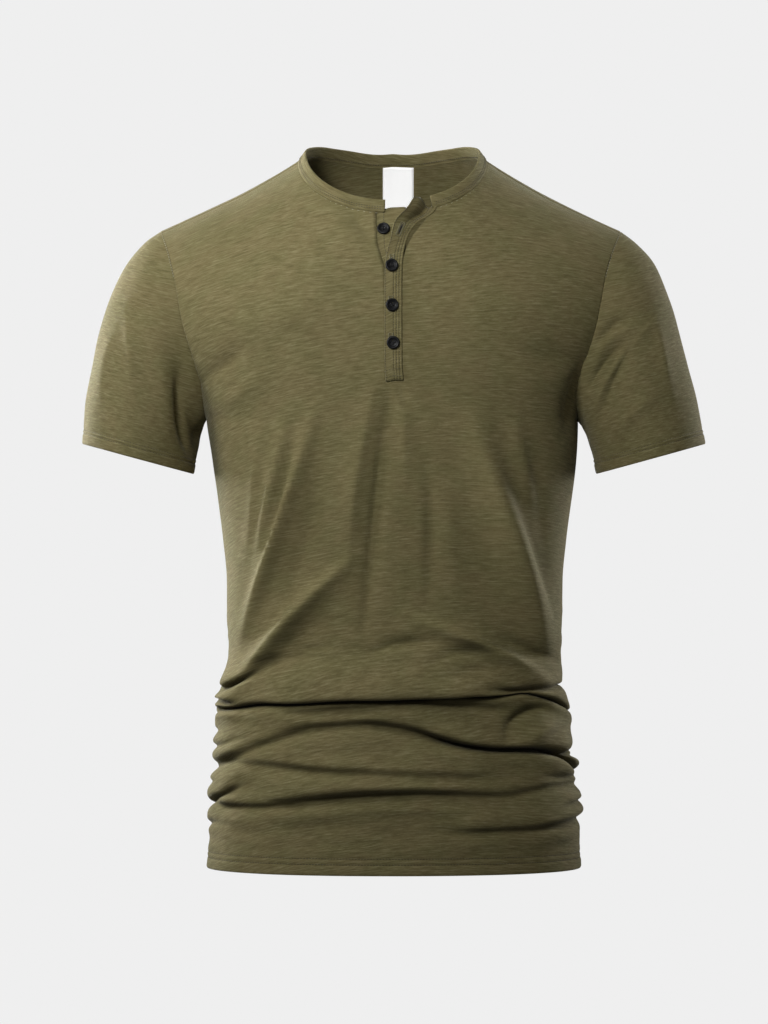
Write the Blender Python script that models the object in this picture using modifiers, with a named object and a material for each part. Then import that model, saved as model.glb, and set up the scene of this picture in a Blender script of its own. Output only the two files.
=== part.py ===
"""Henley shirt with short sleeves, hollow, in the shape it takes when it is worn.

Metres, +Z up, front towards -Y. The origin is the middle of the neck opening at shoulder height.
The panels are cut out of one smooth garment form: levels give its half width and its depth in
front and behind, the shoulder line closes it at the top, and the armholes cut its sides.
"""

import math
from collections import namedtuple

import bmesh
import bpy
from mathutils import Vector

FRONT, BACK = -1, 1
UP = Vector((0, 0, 1))

# cloth
WALL = 0.0015
HEM_WALL = 0.0023
SEAM_GAP = 0.00036
LAYER_GAP = 0.0003
FOLDED_BACK = 0.6

# garment form
Level = namedtuple("Level", "height half_width front_depth back_depth side_shift")
LEVELS = (
    Level(-0.706, 0.1872, 0.114, 0.110, 0.0012),
    Level(-0.640, 0.1815, 0.111, 0.106, 0.0014),
    Level(-0.580, 0.1750, 0.106, 0.100, 0.0016),
    Level(-0.530, 0.1685, 0.103, 0.094, 0.0018),
    Level(-0.490, 0.1660, 0.102, 0.090, 0.0020),
    Level(-0.460, 0.1675, 0.102, 0.088, 0.0020),
    Level(-0.420, 0.1680, 0.104, 0.088, 0.0020),
    Level(-0.380, 0.1715, 0.108, 0.092, 0.0020),
    Level(-0.340, 0.1762, 0.112, 0.098, 0.0020),
    Level(-0.300, 0.1818, 0.115, 0.104, 0.0014),
    Level(-0.260, 0.1860, 0.118, 0.109, -0.0006),
    Level(-0.235, 0.1868, 0.119, 0.111, -0.0020),
    Level(-0.210, 0.1915, 0.120, 0.112, -0.0030),
    Level(-0.165, 0.2045, 0.119, 0.111, -0.0036),
    Level(-0.120, 0.2130, 0.113, 0.107, -0.0036),
    Level(-0.095, 0.2200, 0.108, 0.104, -0.0030),
    Level(-0.070, 0.2300, 0.101, 0.100, -0.0022),
    Level(-0.030, 0.2460, 0.095, 0.096, -0.0018),
    Level(0.040, 0.2710, 0.090, 0.092, -0.0014),
)
HEM_HEIGHT = LEVELS[0].height
BUNCH_TOP = -0.475
ARMPIT_HEIGHT = -0.260
SECTION_POWER = 2.3
SIDE_POWER = 2.2
ARMHOLE_SHARE = 0.62
SHIFT_FULL = 0.18

# top of the shoulders, from the middle of the neck out to the sleeve
Ridge = namedtuple("Ridge", "across height")
SHOULDER_LINE = (
    Ridge(0.000, 0.0350),
    Ridge(0.040, 0.0285),
    Ridge(0.070, 0.0162),
    Ridge(0.0935, -0.0006),
    Ridge(0.106, -0.0088),
    Ridge(0.127, -0.0215),
    Ridge(0.1485, -0.0335),
    Ridge(0.174, -0.0457),
    Ridge(0.200, -0.0577),
    Ridge(0.226, -0.0696),
    Ridge(0.262, -0.0860),
)
SHOULDER_DROP = 0.160
SHOULDER_TURN = 0.127
SEAM_DROP = 0.003

# neck
NECK_HALF_WIDTH = 0.0935
NECK_FRONT_HEIGHT = -0.0585
NECK_BACK_HEIGHT = 0.0
BAND_WIDTH = 0.0125
BAND_WALL = 0.0018
BAND_LIFT = 0.6
BAND_LEFT_END = -0.008

# front opening: where the panel is cut, where the upper strip lies, and how far its edge is turned out
Opening = namedtuple("Opening", "height cut_left cut_right free_edge seam_edge lift")
OPENINGS = (
    Opening(-0.224, -0.0062, 0.0042, -0.0076, 0.0098, 0.0),
    Opening(-0.205, -0.0064, 0.0040, -0.0085, 0.0086, 0.0),
    Opening(-0.150, -0.0064, 0.0040, -0.0086, 0.0084, 0.0),
    Opening(-0.118, -0.0068, 0.0040, -0.0084, 0.0086, 0.0),
    Opening(-0.104, -0.0105, 0.0050, -0.0076, 0.0098, 0.0),
    Opening(-0.0865, -0.0162, 0.0085, -0.0026, 0.0140, 0.0034),
    Opening(-0.0728, -0.0168, 0.0165, 0.0010, 0.0222, 0.0062),
    Opening(-0.0618, -0.0170, 0.0270, 0.0078, 0.0322, 0.0086),
    Opening(-0.0530, -0.0170, 0.0385, 0.0136, 0.0405, 0.0098),
    Opening(-0.0455, -0.0170, 0.0385, 0.0192, 0.0405, 0.0100),
)
PLACKET_FOOT = OPENINGS[0].height
TURN_OUT_HEIGHT = OPENINGS[4].height
OPENING_STARTS = 0.004
PLACKET_TOP_LAG = 0.7
UNDER_TOP = -0.0530
UNDER_TUCK = 0.0055
UNDER_RIGHT = 0.0125

# buttons, the top one undone on the under strip and the rest on the upper one
Button = namedtuple("Button", "across height done_up")
BUTTONS = (
    Button(-0.0094, -0.0760, False),
    Button(-0.0016, -0.1125, True),
    Button(-0.0014, -0.1512, True),
    Button(-0.0002, -0.1877, True),
)
BUTTON_RADIUS = 0.0062
BUTTON_HEIGHT = 0.0028
BUTTON_DISH = 0.0011
BUTTON_SEAT = 0.0004
BUTTON_SIDES = 20
BUTTON_BEARING = 0.6

# label
LABEL_MIDDLE = 0.0055
LABEL_WIDTH = 0.0315
LABEL_TOP = -0.0040
LABEL_LENGTH = 0.046
LABEL_WALL = 0.001

# sleeves: top and underarm edge of each section, and its half depth
Section = namedtuple("Section", "share outer_across outer_height inner_across inner_height half_depth")
SLEEVE = (
    Section(0.00, 0.2300, -0.0715, 0.1860, -0.2600, 0.061),
    Section(0.08, 0.2465, -0.0840, 0.1880, -0.2640, 0.062),
    Section(0.20, 0.2650, -0.1060, 0.1900, -0.2705, 0.063),
    Section(0.35, 0.2798, -0.1390, 0.1925, -0.2785, 0.064),
    Section(0.50, 0.2905, -0.1750, 0.1945, -0.2870, 0.064),
    Section(0.65, 0.2985, -0.2095, 0.1970, -0.2955, 0.063),
    Section(0.80, 0.3055, -0.2430, 0.1990, -0.3040, 0.062),
    Section(1.00, 0.3110, -0.2840, 0.2015, -0.3140, 0.061),
)
SLEEVE_ROWS = 8
CUFF_SHARE = 0.88

# creases of the bunched lower part, each with its height at places round the body
Crease = namedtuple("Crease", "left front_left front front_right right back depth lip hang reach")
CREASE_PLACES = (-90, -42, 0, 42, 90, 180)
CREASES = (
    Crease(-0.500, -0.512, -0.500, -0.500, -0.498, -0.503, 0.0030, 0.0020, 0.000, 0.016),
    Crease(-0.547, -0.543, -0.538, -0.537, -0.524, -0.540, 0.0055, 0.0085, 0.008, 0.013),
    Crease(-0.583, -0.575, -0.566, -0.584, -0.592, -0.580, 0.0035, 0.0055, 0.003, 0.010),
    Crease(-0.610, -0.599, -0.592, -0.603, -0.609, -0.604, 0.0020, 0.0040, 0.002, 0.009),
    Crease(-0.637, -0.624, -0.619, -0.625, -0.625, -0.630, 0.0035, 0.0050, 0.003, 0.010),
    Crease(-0.655, -0.646, -0.650, -0.662, -0.658, -0.661, 0.0020, 0.0040, 0.002, 0.009),
)
TROUGH_WIDTH = 0.6
LOWER_LIP = 0.5
HANG_ABOVE = 0.9
FRONT_LEAN = 2.2
STILL_ABOVE_HEM = 0.006
FADE_ABOVE_HEM = 0.03

# how finely the sheets are divided
SHOULDER_COLUMNS = 6
NECK_COLUMNS = 5
YOKE_ROWS = 10
CHEST_ROWS = 5
BUNCH_ROWS = 25
HEM_ROWS = 2
UPPER_COLUMNS = 4
UNDER_COLUMNS = 4
LABEL_COLUMNS = 3
LEAST_STEP = 0.3
SAME_PLACE = 2e-5


def smooth_curve(points):
    """Returns the smooth function through (position, value) pairs, which never overshoots them."""
    places = [p[0] for p in points]
    values = [p[1] for p in points]
    spans = [b - a for a, b in zip(places, places[1:])]
    slopes = [(b - a) / s for a, b, s in zip(values, values[1:], spans)]
    tangents = [slopes[0]]
    for before, after in zip(slopes, slopes[1:]):
        tangents.append(2 * before * after / (before + after) if before * after > 0 else 0.0)
    tangents.append(slopes[-1])

    def value(at):
        at = min(max(at, places[0]), places[-1])
        i = max(k for k in range(len(spans)) if at >= places[k])
        s = spans[i]
        t = (at - places[i]) / s
        rise = values[i + 1] - values[i]
        a = tangents[i] * s - rise
        b = rise - tangents[i + 1] * s
        return values[i] + t * rise + t * (1 - t) * ((1 - t) * a + t * b)

    return value


def columns_of(table, key):
    """Returns one smooth function of the key column for each other column of a table."""
    rows = sorted(table, key=lambda row: getattr(row, key))
    names = [name for name in table[0]._fields if name != key]
    return {n: smooth_curve([(getattr(r, key), getattr(r, n)) for r in rows]) for n in names}


LEVEL = columns_of(LEVELS, "height")
RIDGE = columns_of(SHOULDER_LINE, "across")["height"]
OPENING = columns_of(OPENINGS, "height")
SLEEVE_AT = columns_of(SLEEVE, "share")


# ---------------------------------------------------------------- the garment form


def drop_at(turn):
    """Returns how far below the shoulder line a point lies, from its way round the shoulder."""
    angle = abs(turn) / SHOULDER_TURN
    if angle < math.pi / 2:
        return SHOULDER_DROP * (1 - math.cos(angle))
    return SHOULDER_DROP + (angle - math.pi / 2) * SHOULDER_TURN


def turn_at(drop):
    """The inverse of drop_at."""
    if drop < SHOULDER_DROP:
        return SHOULDER_TURN * math.acos(1 - max(drop, 0.0) / SHOULDER_DROP)
    return SHOULDER_TURN * math.pi / 2 + drop - SHOULDER_DROP


def armhole_share(height):
    """Returns how deep the form still is at the armhole, as a share of its full depth."""
    up = (height - ARMPIT_HEIGHT) / (TIP_HEIGHT - ARMPIT_HEIGHT)
    up = min(max(up, 0.0), 1.0)
    return ARMHOLE_SHARE * (1 - (1 - up) ** SIDE_POWER) ** (1 / SIDE_POWER)


def form_point(side, across, turn):
    """Returns the point of the form at a place across it and a way down from the shoulder line."""
    if turn < 0:
        side = -side
    height = RIDGE(abs(across)) - drop_at(turn)
    reach = LEVEL["half_width"](height)
    depth = LEVEL["front_depth" if side == FRONT else "back_depth"](height)
    edge = armhole_share(height)
    fill = 1 - (abs(across) / reach) ** SECTION_POWER * (1 - edge**SECTION_POWER)
    section = max(fill, 0.0) ** (1 / SECTION_POWER)
    rounding = math.sin(min(abs(turn) / SHOULDER_TURN, math.pi / 2))
    return Vector((across, side * depth * section * rounding, height))


def on_form(side, across, height):
    """Returns the point of the form at a place across it and a height."""
    return form_point(side, across, turn_at(RIDGE(abs(across)) - height))


def form_normal(side, across, height):
    """Returns the outward direction of the form there."""
    step = 0.001
    sideways = on_form(side, across + step, height) - on_form(side, across - step, height)
    upwards = on_form(side, across, height + step) - on_form(side, across, height - step)
    normal = sideways.cross(upwards).normalized()
    return normal if normal.y * side > 0 else -normal


def tip_height(drop):
    """Returns the height on the armhole that is a given drop below the shoulder line."""
    height = -0.07
    for _ in range(20):
        height = RIDGE(LEVEL["half_width"](height)) - drop
    return height


TIP_HEIGHT = tip_height(0.0)
SEAM_TIP_HEIGHT = tip_height(SEAM_DROP)


def armhole_place(share, side):
    """Returns (across, turn) on the armhole, from the armpit at 0 to the shoulder seam at 1."""
    middle = (TIP_HEIGHT + ARMPIT_HEIGHT) / 2
    half = (TIP_HEIGHT - ARMPIT_HEIGHT) / 2
    seam_angle = math.acos((SEAM_TIP_HEIGHT - middle) / half)
    angle = math.pi - share * (math.pi + side * seam_angle)
    height = middle + half * math.cos(angle)
    across = LEVEL["half_width"](height)
    turn = turn_at(RIDGE(across) - height)
    return across, turn if angle > 0 else -turn


# ---------------------------------------------------------------- the two panels


def crease_height(crease, around):
    """Returns a crease's height at an angle round the body, 0 in front and 90 at the +X side."""
    heights = [crease.left, crease.front_left, crease.front, crease.front_right, crease.right, crease.back]
    path = [(-180, crease.back)] + list(zip(CREASE_PLACES, heights))
    return smooth_curve(path)(around)


def bump(distance, reach):
    return math.exp(-((distance / reach) ** 2))


def bunched(point, around, height):
    """Moves a point of the lower part out, in and down with the rolls it is bunched into."""
    fade = min(max((height - HEM_HEIGHT - STILL_ABOVE_HEM) / FADE_ABOVE_HEM, 0.0), 1.0)
    out = 0.0
    down = 0.0
    for crease in CREASES:
        above = height - crease_height(crease, around)
        out += crease.lip * bump(above - crease.reach, crease.reach)
        out += LOWER_LIP * crease.lip * bump(above + crease.reach, crease.reach)
        out -= crease.depth * bump(above, TROUGH_WIDTH * crease.reach)
        down += crease.hang * bump(above - HANG_ABOVE * crease.reach, crease.reach)
    outward = Vector((point.x, FRONT_LEAN * point.y, 0)).normalized()
    return point + fade * (out * outward - down * UP)


def lower_point(side, angle, height):
    """Returns a point of the panel below the armpit, from its angle round the section."""
    share = math.copysign(abs(math.sin(angle)) ** (2 / SECTION_POWER), angle)
    across = LEVEL["half_width"](height) * share
    depth = LEVEL["front_depth" if side == FRONT else "back_depth"](height)
    point = Vector((across, side * depth * max(math.cos(angle), 0.0) ** (2 / SECTION_POWER), height))
    around = math.degrees(angle)
    if side == BACK:
        around = math.copysign(180, angle) - around
    return bunched(point, around, height)


def column_angles(side):
    """Returns the angle of each column round the lower section, from the -X side to the +X side."""
    each_side = SHOULDER_COLUMNS + NECK_COLUMNS
    half_width = LEVEL["half_width"](ARMPIT_HEIGHT)
    if side == BACK:
        count = 2 * each_side + 1
        return [math.pi * (i / count - 0.5) for i in range(count + 1)]
    left_start, right_start = (
        math.asin((abs(edge) / half_width) ** (SECTION_POWER / 2))
        for edge in (OPENINGS[0].cut_left, OPENINGS[0].cut_right)
    )
    steps = [i / each_side for i in range(each_side + 1)]
    left = [-math.pi / 2 + s * (math.pi / 2 - left_start) for s in steps]
    right = [right_start + s * (math.pi / 2 - right_start) for s in steps]
    return left + right


def front_neck_place(across):
    """Returns (across, turn) on the front neckline, which is half an ellipse."""
    share = min(abs(across) / NECK_HALF_WIDTH, 1.0)
    top = RIDGE(NECK_HALF_WIDTH) - SEAM_DROP
    height = top + (NECK_FRONT_HEIGHT - top) * math.sqrt(1 - share * share)
    return across, turn_at(RIDGE(abs(across)) - height)


def back_neck_place(across):
    """Returns (across, turn) on the back neckline, which starts in front of the shoulder line."""
    share = min(abs(across) / NECK_HALF_WIDTH, 1.0)
    seam = -turn_at(SEAM_DROP)
    middle = turn_at(RIDGE(0) - NECK_BACK_HEIGHT)
    return across, seam + (middle - seam) * math.sqrt(1 - share * share)


def shoulder_places(side):
    """Returns (across, turn) of the shoulder seam's columns, from the sleeve in to the neck."""
    tip = LEVEL["half_width"](SEAM_TIP_HEIGHT)
    seam = -side * turn_at(SEAM_DROP)
    steps = [i / SHOULDER_COLUMNS for i in range(SHOULDER_COLUMNS)]
    return [(tip + s * (NECK_HALF_WIDTH - tip), seam) for s in steps]


def neck_angles(side):
    """Returns where the neckline's columns lie, as angles from its middle."""
    if side == BACK:
        count = 2 * NECK_COLUMNS + 1
        return [math.pi * (i / count - 0.5) for i in range(count + 1)]
    left_end = math.asin(OPENINGS[-1].cut_left / NECK_HALF_WIDTH)
    right_end = math.asin(OPENINGS[-1].cut_right / NECK_HALF_WIDTH)
    steps = [i / NECK_COLUMNS for i in range(NECK_COLUMNS + 1)]
    left = [-math.pi / 2 + s * (left_end + math.pi / 2) for s in steps]
    right = [right_end + s * (math.pi / 2 - right_end) for s in steps]
    return left + right


def top_places(side):
    """Returns (across, turn) along the panel's top edge: shoulder seam, neckline, shoulder seam."""
    shoulder = shoulder_places(side)
    place = front_neck_place if side == FRONT else back_neck_place
    neck = [place(NECK_HALF_WIDTH * math.sin(a)) for a in neck_angles(side)]
    left = [(-across, turn) for across, turn in shoulder]
    return left + neck + shoulder[::-1]


def cut_to_opening(row, share):
    """Moves a row of the front panel so that its middle columns follow the edges of the opening."""
    first = SHOULDER_COLUMNS + NECK_COLUMNS
    moved = list(row)
    for column, edge, step in ((first, "cut_left", -1), (first + 1, "cut_right", 1)):
        across, turn = row[column]
        target = OPENING[edge](RIDGE(abs(across)) - drop_at(turn))
        for k in range(NECK_COLUMNS):
            near = (1 - k / NECK_COLUMNS) ** 2 * (1 - share**6)
            x, t = row[column + step * k]
            moved[column + step * k] = (x + near * (target - across), t)
    return moved


def yoke_row(side, share, bottom, top):
    """Returns one row of the panel above the armpit, blended between its four edges."""
    edge_across, edge_turn = armhole_place(share, side)
    edge = (Vector((-edge_across, edge_turn)), Vector((edge_across, edge_turn)))
    bottom = [Vector(p) for p in bottom]
    top = [Vector(p) for p in top]
    last = len(top) - 1
    row = []
    for i in range(last + 1):
        s = i / last
        between = bottom[i].lerp(top[i], share)
        sides = edge[0].lerp(edge[1], s)
        corners = bottom[0].lerp(bottom[last], s).lerp(top[0].lerp(top[last], s), share)
        row.append(tuple(between + (2 * s - 1) ** 2 * (sides - corners)))
    return row


def panel_points(side):
    """Returns the panel's rows of points, from the hem up to the shoulder seam and neckline."""
    angles = column_angles(side)
    bunch = [HEM_HEIGHT + i / BUNCH_ROWS * (BUNCH_TOP - HEM_HEIGHT) for i in range(BUNCH_ROWS)]
    chest = [BUNCH_TOP + i / CHEST_ROWS * (ARMPIT_HEIGHT - BUNCH_TOP) for i in range(CHEST_ROWS + 1)]
    rows = [[lower_point(side, angle, height) for angle in angles] for height in bunch + chest]
    bottom = [(p.x, turn_at(RIDGE(abs(p.x)) - ARMPIT_HEIGHT)) for p in rows[-1]]
    top = top_places(side)
    for i in range(1, YOKE_ROWS + 1):
        places = yoke_row(side, i / YOKE_ROWS, bottom, top)
        if side == FRONT:
            places = cut_to_opening(places, i / YOKE_ROWS)
        rows.append([form_point(side, *place) for place in places])
    return rows


# ---------------------------------------------------------------- sleeves, band and plackets


def armhole_ring(panels, right):
    """Returns the armhole's points, from the shoulder seam down the front and up the back."""
    column = -1 if right else 0
    front = [row[column] for row in panels[FRONT][-YOKE_ROWS - 1 :]]
    back = [row[column] for row in panels[BACK][-YOKE_ROWS - 1 :]]
    return front[::-1] + back[1:]


def sleeve_points(panels, right):
    """Returns the sleeve's rings of points, from the armhole to the cuff."""
    ring = armhole_ring(panels, right)
    mirror = 1 if right else -1
    start = SLEEVE[0]
    middle_height = (start.outer_height + start.inner_height) / 2
    half_height = (start.outer_height - start.inner_height) / 2
    angles = []
    for i, point in enumerate(ring):
        angle = math.acos(max(min((point.z - middle_height) / half_height, 1.0), -1.0))
        behind = i > YOKE_ROWS and point.y > 0
        angles.append(-angle if behind else angle)

    def section_point(share, angle):
        at = {name: curve(share) for name, curve in SLEEVE_AT.items()}
        outer = Vector((mirror * at["outer_across"], 0, at["outer_height"]))
        inner = Vector((mirror * at["inner_across"], 0, at["inner_height"]))
        along = (outer + inner) / 2 + (outer - inner) / 2 * math.cos(angle)
        return along - Vector((0, at["half_depth"] * math.sin(angle), 0))

    rows = []
    for i in range(SLEEVE_ROWS + 1):
        share = i / SLEEVE_ROWS
        rows.append(
            [
                section_point(share, a) + (1 - share) ** 3 * (p - section_point(0, a))
                for a, p in zip(angles, ring)
            ]
        )
    rows[0] = ring
    return rows


def neckline(panels):
    """Returns the neckline's points, from the under strip round the back to the upper strip."""
    first = SHOULDER_COLUMNS
    middle = first + NECK_COLUMNS
    front, back = panels[FRONT][-1], panels[BACK][-1]
    start = form_point(FRONT, *front_neck_place(BAND_LEFT_END))
    left = front[first : middle + 1][::-1]
    behind = back[first + 1 : len(back) - first - 1]
    right = front[middle + 1 : len(front) - first][::-1]
    return [start] + left + behind + right


def band_points(panels):
    """Returns the neckband's three rows, standing up from the neckline."""
    seam = neckline(panels)
    rows = [[], [], []]
    for i, point in enumerate(seam):
        along = seam[min(i + 1, len(seam) - 1)] - seam[max(i - 1, 0)]
        side = BACK if point.y > 0 and i > NECK_COLUMNS else FRONT
        height = min(point.z, RIDGE(abs(point.x)) - 0.001)
        normal = form_normal(side, point.x, height)
        inward = normal.cross(along).normalized()
        if inward.z < 0:
            inward = -inward
        rise = (inward + BAND_LIFT * UP).normalized()
        for k, row in enumerate(rows):
            row.append(point + k / 2 * BAND_WIDTH * rise)
    return rows


def panel_at(rows, across, level):
    """Returns the point of a panel's faceted face at a place across it and a row, or part of one."""
    first = min(max(int(level), 0), len(rows) - 2)
    ends = []
    for row in rows[first : first + 2]:
        i = max((k for k in range(len(row) - 1) if across >= row[k].x), default=0)
        a, b = row[i], row[i + 1]
        ends.append(a.lerp(b, (across - a.x) / (b.x - a.x)))
    return ends[0].lerp(ends[1], level - first)


def level_at(rows, across, height):
    """Returns the row, or part of one, at which a panel reaches a height; it may lie past the top."""
    heights = [panel_at(rows, across, k).z for k in range(len(rows))]
    first = max(k for k in range(len(rows) - 1) if height >= heights[k])
    return first + (height - heights[first]) / (heights[first + 1] - heights[first])


def strip_points(rows, levels, left, right, out, columns, lag=lambda level, share: 0):
    """Returns rows of points on a panel's own face, moved out by out(height, share across)."""
    strip = []
    for level in levels:
        height = panel_at(rows, 0, level).z
        row = []
        for i in range(columns + 1):
            share = i / columns
            across = left(height) + share * (right(height) - left(height))
            point = panel_at(rows, across, level - lag(level, share))
            normal = form_normal(FRONT if point.y < 0 else BACK, across, point.z)
            row.append(point + out(height, share) * normal)
        strip.append(row)
    return strip


def strip_levels(rows, *heights):
    """Returns the rows from the first height to the last, with the heights between them."""
    set_levels = [level_at(rows, 0, height) for height in heights]
    low, high = set_levels[0], set_levels[-1]
    between = [k for k in range(len(rows)) if low + LEAST_STEP < k < high - LEAST_STEP]
    return sorted(set_levels + between)


def upper_placket_points(panel):
    """Returns the upper strip, flat up to the first done-up button and turned out above it."""

    def out(height, share):
        return LAYER_GAP + WALL + OPENING["lift"](height) * (1 - share) ** 1.5

    levels = strip_levels(panel, PLACKET_FOOT, TURN_OUT_HEIGHT, OPENINGS[-1].height)

    def lag(level, share):
        return PLACKET_TOP_LAG * share**2 * max(level - levels[-1] + 2, 0) / 2

    left, right = OPENING["free_edge"], OPENING["seam_edge"]
    return strip_points(panel, levels, left, right, out, UPPER_COLUMNS, lag)


def under_placket_points(panel):
    """Returns the under strip, which lies behind the edges of the opening."""

    def left(height):
        return OPENING["cut_left"](height) - UNDER_TUCK

    levels = strip_levels(panel, PLACKET_FOOT, UNDER_TOP)
    inside = -(WALL + LAYER_GAP)
    return strip_points(panel, levels, left, lambda _: UNDER_RIGHT, lambda *_: inside, UNDER_COLUMNS)


def label_points(panel):
    """Returns the label, hanging inside the back panel from the neck seam."""
    left, right = LABEL_MIDDLE - LABEL_WIDTH / 2, LABEL_MIDDLE + LABEL_WIDTH / 2
    levels = strip_levels(panel, LABEL_TOP - LABEL_LENGTH, LABEL_TOP)
    inside = -(WALL + LAYER_GAP)
    return strip_points(panel, levels, lambda _: left, lambda _: right, lambda *_: inside, LABEL_COLUMNS)


# ---------------------------------------------------------------- sheets into walls


class Sheet:
    """An open sheet of one piece's outer face, before it gets its thickness."""

    def __init__(self, name, rows, wall, is_tube=False, skip=None):
        self.name = name
        self.wall = wall
        self.bm = bmesh.new()
        columns = len(rows[0])
        grid = bmesh.ops.create_grid(self.bm, x_segments=columns - 1, y_segments=len(rows) - 1, size=1)
        self.share = {}
        for index, vert in enumerate(grid["verts"]):
            row, column = divmod(index, columns)
            vert.co = rows[row][column]
            self.share[vert] = row / (len(rows) - 1)
        if skip:
            self.bm.faces.ensure_lookup_table()
            cells = [self.bm.faces[r * (columns - 1) + c] for r, c in skip]
            bmesh.ops.delete(self.bm, geom=cells, context="FACES")
        if is_tube:
            bmesh.ops.remove_doubles(self.bm, verts=self.bm.verts, dist=1e-6)
        self.share = {v: s for v, s in self.share.items() if v.is_valid}

    def face_outward(self, outward):
        """Turns the sheet over if its first face looks the wrong way."""
        self.bm.faces.ensure_lookup_table()
        face = self.bm.faces[len(self.bm.faces) // 2]
        face.normal_update()
        if face.normal.dot(outward(face.calc_center_median())) < 0:
            bmesh.ops.reverse_faces(self.bm, faces=self.bm.faces)
        self.bm.normal_update()


def shift_sides(sheet):
    """Moves the sides of the shirt a little across, as it hangs on the figure."""
    for vert in sheet.bm.verts:
        share = min((vert.co.x / SHIFT_FULL) ** 2, 1.0)
        vert.co.x += share * LEVEL["side_shift"](vert.co.z)


def seam_key(point):
    return tuple(round(value / SAME_PLACE) for value in point)


def sew(sheets):
    """Gives sheets that meet one shared direction through the cloth, and opens the seam gap."""
    meeting = {}
    for sheet in sheets:
        sheet.through = {v: v.normal.copy() for v in sheet.bm.verts}
        for vert in sheet.bm.verts:
            if vert.is_boundary:
                meeting.setdefault(seam_key(vert.co), []).append((sheet, vert))
    moves = []
    for group in meeting.values():
        if len({sheet.name for sheet, _ in group}) < 2:
            continue
        shared = sum((sheet.through[v] for sheet, v in group), Vector()).normalized()
        inward = []
        for _, vert in group:
            middles = [face.calc_center_median() - vert.co for face in vert.link_faces]
            inward.append(sum((m.normalized() for m in middles), Vector()).normalized())
        mean = sum(inward, Vector()) / len(inward)
        for (sheet, vert), direction in zip(group, inward):
            if sheet.through[vert].dot(shared) > FOLDED_BACK:
                sheet.through[vert] = shared
            apart = direction - mean
            apart -= apart.dot(sheet.through[vert]) * sheet.through[vert]
            moves.append((vert, apart.normalized() * SEAM_GAP / 2))
    for vert, move in moves:
        vert.co += move


def thicken(sheet):
    """Turns the sheet into a closed wall: its outer face, its inner face and the rims between."""
    bm = sheet.bm
    rim = [(e.verts[0], e.verts[1], e.link_faces[0]) for e in bm.edges if e.is_boundary]
    outer_faces = list(bm.faces)
    inner = {v: bm.verts.new(v.co - sheet.wall(sheet.share[v]) * sheet.through[v]) for v in list(bm.verts)}
    for face in outer_faces:
        bm.faces.new([inner[v] for v in reversed(face.verts)])
    for a, b, face in rim:
        loop = [v for v in face.verts]
        if loop[(loop.index(a) + 1) % len(loop)] != b:
            a, b = b, a
        bm.faces.new((b, a, inner[a], inner[b]))
    bmesh.ops.triangulate(bm, faces=[f for f in bm.faces if len(f.verts) > 3])
    bmesh.ops.recalc_face_normals(bm, faces=bm.faces)


# ---------------------------------------------------------------- objects


def material(name, colour, roughness):
    made = bpy.data.materials.new(name)
    made.use_nodes = True
    shader = made.node_tree.nodes["Principled BSDF"]
    shader.inputs["Base Color"].default_value = (*colour, 1)
    shader.inputs["Roughness"].default_value = roughness
    shader.inputs["Metallic"].default_value = 0
    return made


def add_object(name, mesh, finish, collection):
    obj = bpy.data.objects.new(name, mesh)
    mesh.materials.append(finish)
    collection.objects.link(obj)
    return obj


def clear_scene():
    for obj in list(bpy.data.objects):
        bpy.data.objects.remove(obj, do_unlink=True)


def plain(_):
    return WALL


def hemmed(share):
    """The wall of a panel, with its hem turned up."""
    row = round(share * (BUNCH_ROWS + CHEST_ROWS + YOKE_ROWS))
    return HEM_WALL if row <= HEM_ROWS else WALL


def cuffed(share):
    return HEM_WALL if share > CUFF_SHARE else WALL


def from_axis(point):
    return Vector((point.x, point.y, 0))


def make_sheets():
    """Returns the cloth sheets, and the rows of the strips that the buttons lie on."""
    panels = {side: panel_points(side) for side in (FRONT, BACK)}
    upper, under = upper_placket_points(panels[FRONT]), under_placket_points(panels[FRONT])
    middle = SHOULDER_COLUMNS + NECK_COLUMNS
    lowest = PLACKET_FOOT + OPENING_STARTS
    foot_row = next(i for i, row in enumerate(panels[FRONT]) if row[middle].z > lowest)
    opening = [(r, middle) for r in range(foot_row, len(panels[FRONT]) - 1)]
    sheets = [
        Sheet("front", panels[FRONT], hemmed, skip=opening),
        Sheet("back", panels[BACK], hemmed),
        Sheet("sleeve_left", sleeve_points(panels, False), cuffed, is_tube=True),
        Sheet("sleeve_right", sleeve_points(panels, True), cuffed, is_tube=True),
        Sheet("neckband", band_points(panels), lambda _: BAND_WALL),
        Sheet("placket_upper", upper, plain),
        Sheet("placket_under", under, plain),
        Sheet("label", label_points(panels[BACK]), lambda _: LABEL_WALL),
    ]
    for sheet in sheets:
        shift_sides(sheet)
    for sheet in sheets[:2] + sheets[4:7]:
        sheet.face_outward(from_axis)
    for sheet, side in zip(sheets[2:4], (-1, 1)):
        axis = Vector((side * 0.25, 0, -0.24))
        sheet.face_outward(lambda point, axis=axis: point - axis)
    sheets[7].face_outward(from_axis)
    return sheets, upper, under


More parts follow.
